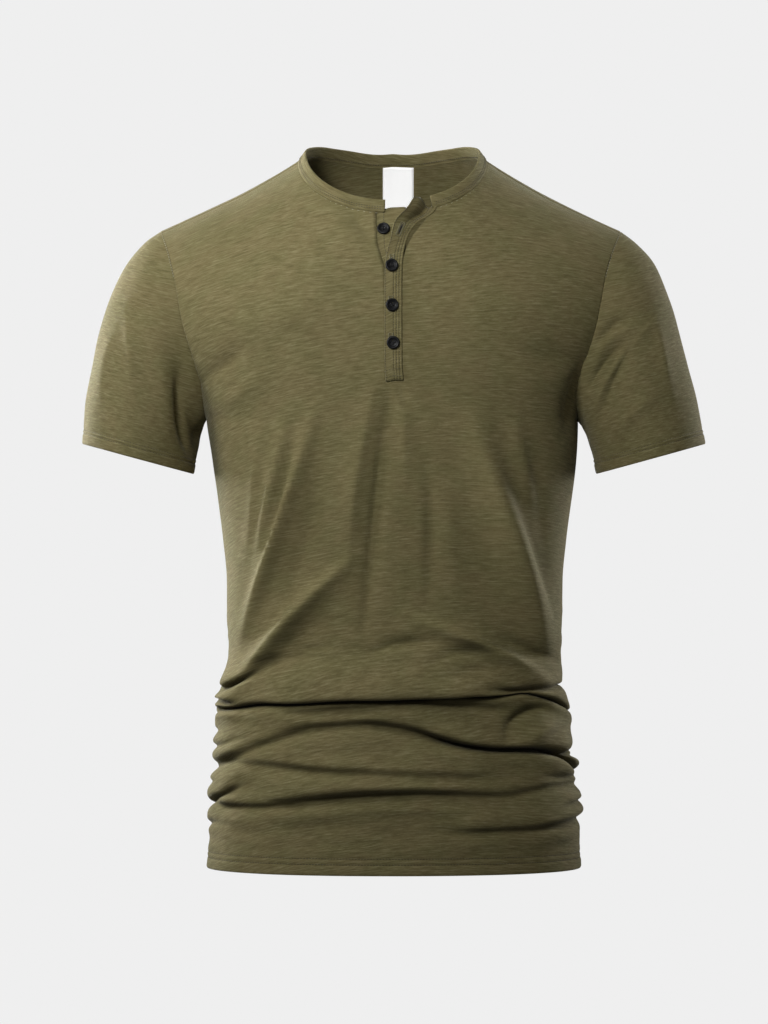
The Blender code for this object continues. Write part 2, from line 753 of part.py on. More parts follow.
def make_button(name, button, strip, finish, collection):
    """A turned disc with a raised rim and a dished middle, lying on its strip."""
    radius, height = BUTTON_RADIUS, BUTTON_HEIGHT
    profile = (
        (0, height - BUTTON_DISH),
        (0.55 * radius, height - BUTTON_DISH),
        (0.72 * radius, height),
        (0.90 * radius, 0.93 * height),
        (radius, 0.62 * height),
        (radius, 0.28 * height),
        (0.84 * radius, 0),
        (0, 0),
    )
    bm = bmesh.new()
    verts = [bm.verts.new((r, 0, z)) for r, z in profile]
    for a, b in zip(verts, verts[1:]):
        bm.edges.new((a, b))
    mesh = bpy.data.meshes.new(name)
    bm.to_mesh(mesh)
    bm.free()
    obj = add_object(name, mesh, finish, collection)
    screw = obj.modifiers.new("turned", "SCREW")
    screw.steps = BUTTON_SIDES
    screw.render_steps = BUTTON_SIDES
    screw.use_merge_vertices = True
    screw.merge_threshold = 1e-5
    middle = level_at(strip, button.across, button.height)
    low, high = (
        panel_at(strip, button.across, level_at(strip, button.across, button.height + step))
        for step in (-BUTTON_BEARING * BUTTON_RADIUS, BUTTON_BEARING * BUTTON_RADIUS)
    )
    normal = Vector((1, 0, 0)).cross(high - low).normalized()
    obj.location = panel_at(strip, button.across, middle) + BUTTON_SEAT * normal
    obj.rotation_mode = "QUATERNION"
    obj.rotation_quaternion = normal.to_track_quat("Z", "Y")


def main():
    clear_scene()
    collection = bpy.data.collections.new("henley_shirt")
    bpy.context.scene.collection.children.link(collection)
    jersey = (0.172, 0.150, 0.074)
    sheets, upper, under = make_sheets()
    sew(sheets)
    for sheet in sheets:
        thicken(sheet)
        mesh = bpy.data.meshes.new(sheet.name)
        sheet.bm.to_mesh(mesh)
        sheet.bm.free()
        colour = (0.85, 0.85, 0.83) if sheet.name == "label" else jersey
        add_object(sheet.name, mesh, material(sheet.name, colour, 0.9), collection)
    for i, button in enumerate(BUTTONS):
        name = f"button_{i + 1}"
        strip = upper if button.done_up else under
        make_button(name, button, strip, material(name, (0.012, 0.012, 0.013), 0.25), collection)


main()
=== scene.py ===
"""Builds a short-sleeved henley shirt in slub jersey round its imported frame.

The shirt keeps the hollow shape it has when it is worn. Each cut piece is a thin sheet mapped on
the garment form: the panels with their rolls and drag lines, the sleeves, the neckband, the two
placket strips and the label, then the stitching, the buttonholes and the buttons.
"""

import math
from collections import namedtuple

import bmesh
import bpy
import numpy as np
from mathutils import Matrix, Vector, noise


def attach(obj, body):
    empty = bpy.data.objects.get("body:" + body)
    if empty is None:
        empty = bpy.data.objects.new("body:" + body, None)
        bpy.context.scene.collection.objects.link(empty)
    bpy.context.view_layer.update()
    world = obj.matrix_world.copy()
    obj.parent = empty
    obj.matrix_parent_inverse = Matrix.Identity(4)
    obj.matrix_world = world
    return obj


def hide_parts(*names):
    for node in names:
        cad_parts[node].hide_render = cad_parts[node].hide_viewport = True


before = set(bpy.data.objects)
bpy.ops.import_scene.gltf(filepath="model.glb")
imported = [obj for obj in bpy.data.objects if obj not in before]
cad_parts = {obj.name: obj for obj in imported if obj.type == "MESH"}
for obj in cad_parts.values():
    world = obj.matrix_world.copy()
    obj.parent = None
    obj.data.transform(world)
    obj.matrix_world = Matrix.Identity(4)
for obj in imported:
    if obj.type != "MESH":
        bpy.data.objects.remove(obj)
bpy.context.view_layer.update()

bl_info = {
    "name": "Henley shirt",
    "version": (1, 0, 0),
    "blender": (4, 5, 0),
    "location": "3D View > Sidebar > Henley",
    "description": "Builds a henley shirt in slub jersey, piece by piece, and its studio",
    "category": "Object",
}

FRONT, BACK = -1, 1
MM = 0.001

# ---------------------------------------------------------------- sizes of the garment form

Level = namedtuple("Level", "height half_width front_depth back_depth side_shift")
LEVELS = (
    Level(-0.706, 0.1872, 0.114, 0.110, 0.0012),
    Level(-0.640, 0.1815, 0.111, 0.106, 0.0014),
    Level(-0.580, 0.1750, 0.106, 0.100, 0.0016),
    Level(-0.530, 0.1685, 0.103, 0.094, 0.0018),
    Level(-0.490, 0.1660, 0.102, 0.090, 0.0020),
    Level(-0.460, 0.1675, 0.102, 0.088, 0.0020),
    Level(-0.420, 0.1680, 0.104, 0.088, 0.0020),
    Level(-0.380, 0.1715, 0.108, 0.092, 0.0020),
    Level(-0.340, 0.1762, 0.112, 0.098, 0.0020),
    Level(-0.300, 0.1818, 0.115, 0.104, 0.0014),
    Level(-0.260, 0.1860, 0.118, 0.109, -0.0006),
    Level(-0.235, 0.1868, 0.119, 0.111, -0.0020),
    Level(-0.210, 0.1915, 0.120, 0.112, -0.0030),
    Level(-0.165, 0.2045, 0.119, 0.111, -0.0036),
    Level(-0.120, 0.2130, 0.113, 0.107, -0.0036),
    Level(-0.095, 0.2200, 0.108, 0.104, -0.0030),
    Level(-0.070, 0.2300, 0.101, 0.100, -0.0022),
    Level(-0.030, 0.2460, 0.095, 0.096, -0.0018),
    Level(0.040, 0.2710, 0.090, 0.092, -0.0014),
)
HEM_HEIGHT = LEVELS[0].height
BUNCH_TOP = -0.475
ARMPIT_HEIGHT = -0.260
SECTION_POWER = 2.3
SIDE_POWER = 2.2
ARMHOLE_SHARE = 0.62
SHIFT_FULL = 0.18

Ridge = namedtuple("Ridge", "across height")
SHOULDER_LINE = (
    Ridge(0.000, 0.0350),
    Ridge(0.040, 0.0285),
    Ridge(0.070, 0.0162),
    Ridge(0.0935, -0.0006),
    Ridge(0.106, -0.0088),
    Ridge(0.127, -0.0215),
    Ridge(0.1485, -0.0335),
    Ridge(0.174, -0.0457),
    Ridge(0.200, -0.0577),
    Ridge(0.226, -0.0696),
    Ridge(0.262, -0.0860),
)
SHOULDER_DROP = 0.160
SHOULDER_TURN = 0.127
SEAM_DROP = 0.003

NECK_HALF_WIDTH = 0.0935
NECK_FRONT_HEIGHT = -0.0585
NECK_BACK_HEIGHT = 0.0
BAND_WIDTH = 0.0125
BAND_LIFT = 0.6
BAND_LEFT_END = -0.008

Opening = namedtuple("Opening", "height cut_left cut_right free_edge seam_edge lift")
OPENINGS = (
    Opening(-0.224, -0.0062, 0.0042, -0.0076, 0.0098, 0.0),
    Opening(-0.205, -0.0064, 0.0040, -0.0085, 0.0086, 0.0),
    Opening(-0.150, -0.0064, 0.0040, -0.0086, 0.0084, 0.0),
    Opening(-0.118, -0.0068, 0.0040, -0.0084, 0.0086, 0.0),
    Opening(-0.104, -0.0105, 0.0050, -0.0076, 0.0098, 0.0),
    Opening(-0.0865, -0.0162, 0.0085, -0.0026, 0.0140, 0.0034),
    Opening(-0.0728, -0.0168, 0.0165, 0.0010, 0.0222, 0.0062),
    Opening(-0.0618, -0.0170, 0.0270, 0.0078, 0.0322, 0.0086),
    Opening(-0.0530, -0.0170, 0.0385, 0.0148, 0.0415, 0.0098),
    Opening(-0.0470, -0.0170, 0.0385, 0.0200, 0.0430, 0.0098),
)
STRIP_LINES = (0.52, 0.68, 0.84)
PLACKET_FOOT = OPENINGS[0].height
PLACKET_TOP = OPENINGS[-1].height
UNDER_TOP = -0.0530
UNDER_TUCK = 0.0055
UNDER_RIGHT = 0.0125

Button = namedtuple("Button", "across height done_up")
BUTTONS = (
    Button(-0.0094, -0.0760, False),
    Button(-0.0016, -0.1125, True),
    Button(-0.0014, -0.1512, True),
    Button(-0.0002, -0.1877, True),
)

LABEL_MIDDLE = 0.0055
LABEL_WIDTH = 0.0315
LABEL_TOP = -0.0010
LABEL_LENGTH = 0.049

Section = namedtuple("Section", "share outer_across outer_height inner_across inner_height half_depth")
SLEEVE = (
    Section(0.00, 0.2300, -0.0715, 0.1860, -0.2600, 0.061),
    Section(0.08, 0.2465, -0.0840, 0.1880, -0.2640, 0.062),
    Section(0.20, 0.2650, -0.1060, 0.1900, -0.2705, 0.063),
    Section(0.35, 0.2798, -0.1390, 0.1925, -0.2785, 0.064),
    Section(0.50, 0.2905, -0.1750, 0.1945, -0.2870, 0.064),
    Section(0.65, 0.2985, -0.2095, 0.1970, -0.2955, 0.063),
    Section(0.80, 0.3055, -0.2430, 0.1990, -0.3040, 0.062),
    Section(1.00, 0.3110, -0.2840, 0.2015, -0.3140, 0.061),
)

# ---------------------------------------------------------------- sizes of the small parts

HEM_EDGE = 0.005
HEM_ROW_IN = 0.003
CUFF_ROW_IN = 0.002
CUFF_TWIN_SHARE = 0.7

STITCH_LIFT = 0.0001
STITCH_GAP = 0.18
FINE_PITCH = 0.0026
# pitch, width, lift and gap of the loose threads
ARMHOLE_THREAD = (0.0032, 0.0008, 0.0006, 0.25)
ARMHOLE_THREAD_SHARE = 0.36
BAND_EDGE_THREAD = (0.0060, 0.0006, 0.0001, 0.55)

# The neckband: how far it overlaps the panels, swells past its width, lies out of the neckline and
# bends down at its open end, and how round its section's ends and faces are.
BAND_OVERLAP = 0.0010
BAND_HALF_WALL = 0.00115
BAND_SWELL = 0.0004
BAND_OUT = 0.0001
BAND_END_WAY = (1, 0, -0.03)
BAND_END_POWER = 0.7
BAND_FACE_POWER = 0.35
# how often its path, the way out of its cloth, and the ways across and out of it are smoothed
BAND_SMOOTHING = (3, 20, 8)
# each row's way up the band and out of it, and the thread's at its edge
BAND_STITCH_ROWS = ((0.0022, 0.00125), (0.0042, 0.00125), (0.0016, -0.00125))
BAND_EDGE_PLACE = (-0.0022, 0.0007)

# How far each strip's outer face lies off its panel, and its wall.
UPPER_LIFT = 0.0017
UNDER_LIFT = -0.0013
STRIP_WALL = 0.0014
LABEL_LIFT = -0.0021
LABEL_WALL = 0.0006
STRIP_EDGE_POWER = 14
# how far above the strips' foot the front's slit begins
SLIT_FOOT = 0.004
# which of a strip's rows and columns carry stitches
FOOT_STITCH_ROWS = (2, 5)
EDGE_STITCH_COLUMN = 2
UNDER_STITCH_COLUMN = 6
UNDER_STITCH_START = 40
# the upper strip's grooves along its stitches, and the curl and the hollow of its open top
GROOVE_WIDTH = 0.026
GROOVE_DEPTH = 0.00045
CURL = 1.1
CURL_POWER = 1.3
HOLLOW_HEIGHTS = (-0.078, -0.058)
HOLLOW_DEPTH = 0.95
HOLLOW_MIDDLE = 0.62
HOLLOW_WIDTH = 0.22
# how many of the panel's rows the open top lags at its left edge, its middle and its right edge
LAG_START = -0.075
LAGS = (2.9, 1.0, 2.2)

# a button's section, in shares of its radius and height
BUTTON_PROFILE = (
    (0.0, 0.62), (0.45, 0.62), (0.58, 0.66), (0.68, 0.90), (0.76, 1.00), (0.86, 0.99),
    (0.95, 0.86), (1.0, 0.60), (0.98, 0.32), (0.88, 0.08), (0.78, 0.0), (0.0, 0.0),
)
BUTTON_LIFT = 0.0004
HOLE_OFF = 0.0013
HOLE_RADIUS = 0.00062
HOLE_SIDES = 14
BUTTON_TURN = 0.3
STRAND_OFF = 0.00018
STRAND_HEIGHT = 0.0019
STRAND_LENGTH = 0.0034
STRAND_WIDTH = 0.00042

# buttonholes: where they lie across the strip, their half length and half width, the length,
# width and lift of a stitch at their sides and ends, and, for the black bar painted as the shadow
# in their slit, its share of their length, its width and its lift
OPEN_HOLE_HEIGHT = -0.0770
OPEN_HOLE_SHARE = 0.40
HOLE_SHARE = 0.36
HOLE_HALF = 0.0074
HOLE_REACH = 0.0019
HOLE_STITCHES = 26
HOLE_SIDE_STITCH = (0.0020, 0.00062, 0.00030)
HOLE_END_STITCH = (0.0038, 0.0007, 0.0002)
HOLE_END_OFF = 0.0003
SLIT_SHADOW_SHARE = 0.94
SLIT_SHADOW_WIDTH = 0.0016
SLIT_SHADOW_LIFT = 0.00030

# The jersey's loops and fibres and the label's ribs.
WALE_WIDTH = 0.00105
COURSE_HEIGHT = 0.0009
FIBRE = (0.36, 0.33, 0.20)
TAPE_RIB = 0.0005
# Noises in the yarn, as (scale along the courses and up them, detail, roughness): its long and
# short slubs, its broad changes, its clouds and its fine fibres.
YARN_NOISES = (
    ((46.0, 600.0, 1.0), 3.0, 0.62),
    ((105.0, 1000.0, 1.0), 2.0, 0.6),
    ((14.0, 60.0, 1.0), 3.0, 0.55),
    ((26.0, 34.0, 1.0), 2.0, 0.5),
    ((420.0, 2400.0, 1.0), 1.0, 0.5),
)

# ---------------------------------------------------------------- folds

# Rolls of the bunched part. Heights are in millimetres at equal steps from begin to end, which are
# degrees round the body: 0 in front, 90 at the +X side. A strength of 1 gives the row its full size.
Roll = namedtuple("Roll", "begin end fade heights strengths depth lip hang reach above")
ROLLS = (
    # the deep overhang in front, its right end, and the one behind
    Roll(-108, 52, 26, (-556, -546, -538, -532, -528, -526, -525),
         (0.1, 0.5, 1, 1.15, 1.3, 1.25, 1.2), 14, 10, 10, 8.5, 2.6),
    Roll(22, 112, 26, (-525, -525, -531, -541, -550, -556),
         (1.2, 1.2, 1, 0.9, 0.8), 10, 6, 6, 5.5, 1.8),
    Roll(94, 264, 30, (-540, -532, -536, -534, -541, -546, -552),
         (0.9, 1, 0.8, 1.1, 0.9, 1, 0.8), 9, 9, 9, 8.0, 2.4),
    # the roll below it: soft to the left of the middle, sharp to the right
    Roll(-110, 28, 26, (-616, -605, -599, -590, -577, -562, -559, -570, -585),
         (0.8, 0.8, 0.6, 0.5, 0.6, 0.8, 0.9), 8, 9, 5, 10.0, 2.2),
    Roll(0, 112, 24, (-557, -574, -581, -583, -587, -599, -611, -619),
         (1.0, 1.2, 1.3, 0.8, 0.5), 14, 7, 5, 7.5, 1.9),
    Roll(94, 262, 30, (-612, -603, -584, -580, -590, -598, -608),
         (0.7, 0.9, 0.7, 0.9, 0.8, 1, 1), 5, 6, 5, 8.0, 2.1),
    # softer ones down to the hem
    Roll(-78, 44, 24, (-597, -599, -601, -604, -606, -609, -611),
         (0.5, 0.9, 1, 1, 1, 0.9, 0.6), 3, 4, 1, 8.0, 1.7),
    Roll(-118, -44, 22, (-650, -646, -641, -636, -629, -622, -617),
         (1, 1.1, 1, 0.9, 0.9, 0.8, 0.6), 5, 5, 4, 7.0, 1.9),
    Roll(-50, 116, 24, (-642, -631, -625, -629, -622, -621, -628),
         (0.8, 1, 0.9, 0.6, 0.5, 0.6, 0.7), 6, 7, 4, 10.0, 2.0),
    Roll(98, 260, 25, (-626, -634, -629, -637, -642, -640, -646),
         (0.8, 1, 0.8, 0.9, 1, 0.9, 1), 4, 5, 3, 7.5, 1.9),
    Roll(-84, -12, 20, (-640, -641, -642, -642, -640, -638, -636),
         (0.5, 0.8, 1, 1, 0.8, 0.6, 0.4), 4, 4, 1, 7.0, 1.6),
    Roll(5, 104, 22, (-660, -664, -663, -660, -657, -656, -658),
         (0.5, 1, 1, 1.1, 1, 0.9, 0.8), 3, 5, 1, 7.5, 1.8),
    Roll(-112, -60, 20, (-668, -666, -664, -661, -659, -658, -657),
         (0.6, 1, 1, 0.8, 0.6, 0.4, 0.3), 3, 3, 1, 5.5, 1.6),
    Roll(120, 230, 22, (-660, -662, -668, -664, -659, -661, -657),
         (0.7, 1, 0.9, 0.6, 0.8, 1, 0.6), 3, 4, 1, 6.5, 1.8),
    # short ones at the sides
    Roll(-114, -48, 20, (-590, -587, -584, -581, -578, -574, -570),
         (0.9, 1.1, 1, 0.9, 0.8, 0.6, 0.4), 4, 3, 2, 5.5, 1.5),
    Roll(-112, -70, 14, (-574, -572, -570, -569, -568, -567, -566),
         (0.7, 1, 1, 0.8, 0.6, 0.4, 0.3), 3, 3, 1, 4.5, 1.5),
    Roll(-112, -66, 16, (-626, -624, -622, -620, -618, -617, -616),
         (0.7, 1, 1, 0.8, 0.6, 0.4, 0.3), 3, 3, 1, 4.5, 1.5),
    Roll(22, 112, 18, (-513, -515, -519, -522, -523, -521, -520),
         (0.6, 0.9, 1, 1, 1, 1.1, 1), 8, 1, 3, 5.0, 1.4),
    Roll(60, 114, 14, (-582, -585, -588, -591, -592, -592, -592),
         (0.4, 0.8, 1, 1, 1, 0.9, 0.8), 6, 2, 2, 4.5, 1.4),
    Roll(58, 110, 14, (-641, -640, -639, -638, -637, -636, -636),
         (0.4, 0.7, 0.9, 1, 1, 1, 0.8), 3, 4, 1, 5.0, 1.6),
    Roll(100, 200, 22, (-498, -503, -512, -509, -503, -500, -495),
         (0.6, 0.9, 1, 0.9, 0.8, 0.6, 0.5), 3, 4, 1, 7.0, 2.0),
    Roll(170, 262, 22, (-513, -518, -515, -507, -502, -498, -497),
         (0.5, 0.8, 1, 1, 0.9, 0.8, 0.7), 3, 4, 1, 7.0, 2.0),
    Roll(-96, -42, 18, (-527, -525, -522, -518, -514, -508, -502),
         (0.2, 0.7, 1.2, 1.3, 1.1, 0.9, 0.5), 9, 4, 4, 5.5, 1.7),
    Roll(-96, -54, 18, (-537, -536, -534, -532, -531, -530, -528),
         (0.2, 0.8, 1.3, 1.3, 1, 0.6, 0.3), 9, 3, 2, 3.8, 1.4),
    Roll(-62, -12, 14, (-508, -503, -499, -496, -494, -495, -497),
         (0.7, 1, 1, 0.9, 0.8, 0.6, 0.4), 3, 2, 0, 8.0, 1.4),
)
# How a roll's crease wanders up and down, in millimetres, and how much its strength does.
WANDER = 1.0
STRENGTH_WANDER = 0.35
WANDER_LENGTH = 0.055
WANDER_RADIUS = 0.14
ROLL_RADIUS = 0.145
ROLL_SEEDS = 3.7
STRENGTH_SEED = 60
SLOPE_STEP = 0.01
# A roll's section, as shares of its reach from the crease: its lip's lower side, the swelling
# below the crease, the crease itself, and where the cloth hangs most and how slowly it ceases to.
LIP_BELOW = 0.8
UNDER_ROLL = 0.45
UNDER_PLACE = 1.5
UNDER_WIDTH = 1.1
TROUGH_WIDTH = 0.62
HANG_ABOVE = 0.9
HANG_FADE = 0.55
FRONT_LEAN = 2.2
# Painted shade in the creases: the jersey's colour is darkened where the cloth above stands out over
# it, in place of the shadow there. The rows looked through, how near and how far they may be, and
# from what angle off the upright they begin and cease to cover it.
CREASE_ROWS = 26
CREASE_NEAR = 0.009
CREASE_FAR = 0.028
CREASE_OPEN = 16
CREASE_SHUT = 74
# how much the painted shade darkens the colour, and the heights above the bunched part over which it
# fades out
CREASE_SHADE = 0.76
CREASE_FADE = (0.02, 0.10)
# Where the folds begin and end: above the hem, round the top of the bunched part, below the armpit
# (where they turn from level to straight out of the cloth), and in from a side seam.
STILL_ABOVE_HEM = 0.020
FADE_ABOVE_HEM = 0.022
ROLLS_END = 0.1
BUNCH_FADE = (0.02, 0.05)
ARMPIT_BLEND = 0.05
SEAM_STILL = 0.026

# Drag lines, in millimetres from one end to the other: rise is how far they stand out (or in, where
# it is negative), left and right are their soft widths on either side, bow is their sideways curve.
Drag = namedtuple("Drag", "x0 z0 x1 z1 bow rise left right")
DRAG_BEYOND = 0.12
DRAG_TAPER = 1.5
DRAG_SHARPNESS = 1.6
FRONT_DRAGS = (
    # from the left armpit down to the bunched left side
    Drag(-79, -262, -150, -474, 3, 14.0, 7, 6),
    Drag(-105, -262, -134, -398, 1, 10.0, 5.5, 5),
    Drag(-132, -258, -146, -400, 2, 3.4, 5, 5),
    Drag(-98, -290, -130, -412, 2, -4.5, 4, 4),
    Drag(-74, -306, -112, -452, 4, -4.0, 7, 15),
    # the lower fold that runs into the deep crease, and the trough under it
    Drag(-42, -400, -150, -520, -5, 14.0, 7.5, 8),
    Drag(-64, -450, -150, -527, -3, -3.5, 6, 8),
    Drag(-104, -489, -62, -484, 1, -4.5, 6, 5),
    # soft roll and trough left of the middle
    Drag(-18, -232, -44, -412, -4, 5.0, 13, 6),
    Drag(-4, -238, -28, -462, -3, -6.5, 4.5, 9),
    Drag(7, -226, 10, -330, 2, 2.2, 6, 8),
    Drag(32, -300, 34, -440, 3, -3.8, 5, 6),
    Drag(56, -320, 62, -440, -3, 2.2, 10, 12),
    # from the right armpit down to the bunched right side
    Drag(118, -258, 138, -350, -3, 6.0, 8, 7),
    Drag(80, -268, 150, -490, -3, 24.0, 16, 15),
    Drag(112, -330, 158, -462, 2, -4.5, 6, 9),
    Drag(136, -290, 152, -420, 0, -2.4, 9, 8),
    Drag(20, -456, 158, -521, 5, 13.0, 8, 6),
    Drag(96, -468, 164, -500, -2, -5.0, 6, 5),
    Drag(30, -500, 110, -488, 6, -3.4, 6, 6),
    Drag(-24, -490, 42, -480, 5, -4.5, 5, 5),
    Drag(30, -510, 112, -500, 2, -3.6, 6, 6),
    # the hollow under the overhang and the curl at its right end
    Drag(-12, -536, 112, -546, 2, -12.0, 8, 6),
    Drag(-112, -548, 14, -539, 1, -12.0, 7, 5),
    Drag(106, -572, 148, -544, 6, -10.0, 3, 6),
    Drag(118, -574, 160, -558, 2, 8.0, 8, 6),
    # neck, shoulders and armpits
    Drag(-45, -50, -17, -88, -2, -2.2, 4, 5),
    Drag(-62, -52, -30, -92, -3, 1.6, 8, 5),
    Drag(-142, -190, -190, -226, 2, -4.2, 8, 7),
    Drag(-120, -214, -176, -250, 3, 4.0, 14, 12),
    Drag(128, -190, 196, -204, -4, -4.6, 8, 9),
    Drag(172, -278, 192, -204, 3, -7, 9, 8),
    Drag(112, -212, 178, -236, -3, 3.4, 14, 12),
    Drag(-60, -150, -170, -170, 5, 1.4, 16, 14),
    Drag(62, -128, 168, -160, -4, 1.4, 16, 14),
    Drag(-84, -96, -178, -118, 3, -1.2, 14, 12),
    Drag(84, -100, 176, -108, -3, -1.0, 14, 12),
    Drag(4, -222, 12, -256, 1, -2.2, 3, 5),
)
# bulges across the side seams, on both panels
SIDE_DRAGS = (
    Drag(168, -540, 168, -582, 0, 3.5, 12, 12),
    Drag(146, -584, 190, -586, 0, -9.0, 4, 4),
    Drag(146, -610, 190, -613, 0, -5.0, 4, 4),
    Drag(-192, -550, -150, -550, 0, 6.0, 9, 8),
    Drag(-168, -498, -170, -566, 0, 5.0, 16, 16),
)
BACK_DRAGS = (
    Drag(-30, -60, -150, -150, 8, 2.2, 16, 14),
    Drag(34, -58, 156, -146, -8, 2.2, 16, 14),
    Drag(-20, -110, -140, -190, 8, -2.0, 14, 14),
    Drag(22, -104, 146, -196, -8, -2.0, 14, 14),
    Drag(-130, -190, -186, -232, 2, -3.2, 9, 9),
    Drag(132, -196, 188, -228, -2, -3.2, 9, 9),
    Drag(-60, -240, -150, -420, -6, 4.2, 12, 10),
    Drag(70, -250, 156, -430, 6, 4.2, 12, 10),
    Drag(-90, -250, -140, -380, -5, -2.2, 9, 12),
    Drag(98, -262, 146, -390, 5, -2.2, 9, 12),
    Drag(-8, -210, -20, -400, 3, -2.8, 12, 11),
    Drag(22, -260, 38, -440, -3, 2.4, 12, 12),
    Drag(-40, -330, -54, -470, 2, 2.4, 12, 10),
    Drag(-66, -430, -152, -500, -4, 4.0, 9, 9),
    Drag(58, -424, 156, -496, 4, 4.0, 9, 9),
    Drag(-30, -482, 60, -476, 5, -2.6, 9, 8),
)
# the left sleeve's front; the right one has its own, and each back has the mirrored table
LEFT_SLEEVE_DRAGS = (
    Drag(-262, -160, -256, -232, 2, 1.8, 4, 7),
    Drag(-273, -168, -288, -246, -3, 1.6, 5, 6),
    Drag(-206, -196, -200, -306, -4, -4.6, 8, 6),
    Drag(-212, -212, -203, -296, -2, -3.4, 3, 6),
    Drag(-196, -206, -190, -246, -2, 2.4, 3, 3),
    Drag(-190, -226, -184, -306, -1, -6.5, 13, 6),
    Drag(-228, -180, -222, -300, 3, 2.0, 12, 10),
    Drag(-240, -110, -262, -150, 4, 1.2, 10, 10),
)
RIGHT_SLEEVE_DRAGS = (
    Drag(194, -190, 236, -162, 3, -4.2, 5, 5),
    Drag(192, -204, 234, -170, 4, 2.6, 5, 5),
    Drag(194, -230, 232, -186, 4, -4.4, 5, 5),
    Drag(196, -262, 262, -162, 8, 3.0, 6, 7),
    Drag(204, -266, 250, -170, 6, -4.0, 7, 6),
    Drag(264, -160, 279, -244, -2, 2.2, 7, 7),
    Drag(216, -282, 262, -236, 4, 1.8, 8, 8),
)
SLEEVE_RELIEF = 1.6
SLEEVE_BACK_SHARE = 1.2
SLEEVE_SIDE_BLEND = 0.012
# the folds grow from the armhole over this length, and keep this share at the cuff's edge
ARMHOLE_FADE = 0.02
CUFF_FADE = (0.004, 0.03)
EDGE_SHARE = 0.35

# Small uneven wrinkles: their wavelengths across and up, and their seed, then how high the chest's
# and the sleeves' are beside the bunched part's, and in how many rows they end at the top edge.
FINE_WRINKLES = (0.022, 0.007, 31.0)
BUNCH_WRINKLES = (0.045, 0.012, 3.0)
CHEST_WRINKLES = (0.060, 0.075, 7.0)
SLEEVE_WRINKLES = (0.035, 0.05, 11.0)
CHEST_SHARE = 0.8
SLEEVE_SHARE = 0.9
TOP_FADE_ROWS = 6

# How deep the cloth dips at a seam, at a row of stitches and at a turned edge, and how widely.
# A cuff also swells a little where it is turned up.
Dip = namedtuple("Dip", "depth width")
SIDE_SEAM = Dip(0.0006, 0.0011)
SIDE_SEAM_FADE = 0.02
TOP_SEAM = Dip(0.0005, 0.0014)
LEFT_ARMHOLE = Dip(0.0003, 0.0010)
RIGHT_ARMHOLE = Dip(0.0008, 0.0010)
HEM_STITCHES = Dip(0.0007, 0.0011)
CUFF_STITCHES = Dip(0.0008, 0.0013)
TURNED_EDGE = Dip(0.0007, 0.0009)
CUFF_SWELL = 0.0005

# How the courses of the jersey bow across a piece and slope along a sleeve.
COURSE_MIDDLE = 0.08
COURSE_BOW = 0.6
SLEEVE_COURSES = 0.26

# ---------------------------------------------------------------- how finely the sheets are divided

# Powers and evenness say how much closer together rows lie near an edge.
SHOULDER_COLUMNS = 30
NECK_COLUMNS = 34
SLIT_START = SHOULDER_COLUMNS + NECK_COLUMNS
SLIT_COLUMNS = 4
HEM_EDGE_ROWS = 5
HEM_EDGE_POWER = 1.6
BUNCH_ROWS = 158
CHEST_ROWS = 64
YOKE_ROWS = 56
YOKE_POWER = 1.15
SLEEVE_ROWS = 190
SLEEVE_EVENNESS = 0.3
SLEEVE_GIRTH_ROW = 30
CUFF_AXIS_ROWS = 8
BAND_POINTS_AROUND = 18
BAND_STEP = 0.0018
STRIP_ROWS = 84
STRIP_COLUMNS = 44
UNDER_ROWS = 72
UNDER_COLUMNS = 16
LABEL_ROWS = 24
LABEL_COLUMNS = 12
BUTTON_SIDES = 48


# ---------------------------------------------------------------- properties


def length(name, description, default, **limits):
    return bpy.props.FloatProperty(
        name=name, description=description, default=default, unit="LENGTH", **limits
    )


def power(name, description, default):
    return bpy.props.FloatProperty(
        name=name, description=description, default=default, unit="POWER"
    )


def colour(name, description, default):
    return bpy.props.FloatVectorProperty(
        name=name, description=description, default=default, subtype="COLOR"
    )


class HenleySizes(bpy.types.PropertyGroup):
    cloth: length("Cloth", "Thickness of the jersey", 0.0011, min=0.0005)
    hem_depth: length("Hem depth", "How far the hem is turned up", 0.019, min=0.005)
    cuff_depth: length("Cuff depth", "How far a cuff is turned up", 0.0165, min=0.005)
    twin_gap: length("Twin gap", "Distance between twin rows of stitches", 0.0055)
    stitch: length("Stitch", "Length of one stitch", 0.0030, min=0.001)
    thread: length("Thread", "Thickness of the sewing thread", 0.00060)
    button_radius: length("Button radius", "Radius of a button", 0.0064)
    button_height: length("Button height", "Height of a button", 0.0028)
    wrinkles: length("Small wrinkles", "Height of the small uneven wrinkles", 0.0011)


class HenleyColours(bpy.types.PropertyGroup):
    jersey: colour("Jersey", "Ground colour of the jersey", (0.180, 0.154, 0.066))
    slub_light: colour("Light slub", "Colour of the light slubs", (0.330, 0.295, 0.160))
    slub_dark: colour("Dark slub", "Colour of the dark yarns", (0.080, 0.066, 0.024))
    thread: colour("Thread", "Colour of the sewing thread", (0.046, 0.038, 0.016))
    hole_thread: colour("Buttonhole thread", "Colour of the buttonholes' thread", (0.24, 0.22, 0.11))
    edge_thread: colour("Armhole thread", "Colour of the thread at the armholes", (0.42, 0.39, 0.26))
    button: colour("Buttons", "Colour of the buttons", (0.006, 0.006, 0.0065))
    label: colour("Label", "Colour of the label", (0.85, 0.85, 0.84))


class HenleyStudio(bpy.types.PropertyGroup):
    backdrop: colour("Backdrop", "Colour of the backdrop and floor", (0.863, 0.863, 0.863))
    ambient: bpy.props.FloatProperty(
        name="Ambient", description="Light from all round", default=0.12, min=0
    )
    key: power("Key light", "Power of the large soft light", 14)
    fill: power("Fill light", "Power of the light near the camera", 2.8)
    top: power("Top light", "Power of the light above the shoulders", 0.8)
    rim: power("Rim lights", "Power of the light behind the +X sleeve", 1.6)
    floor_height: length("Floor height", "Height of the floor under the figure", -1.25)


# ---------------------------------------------------------------- smooth curves


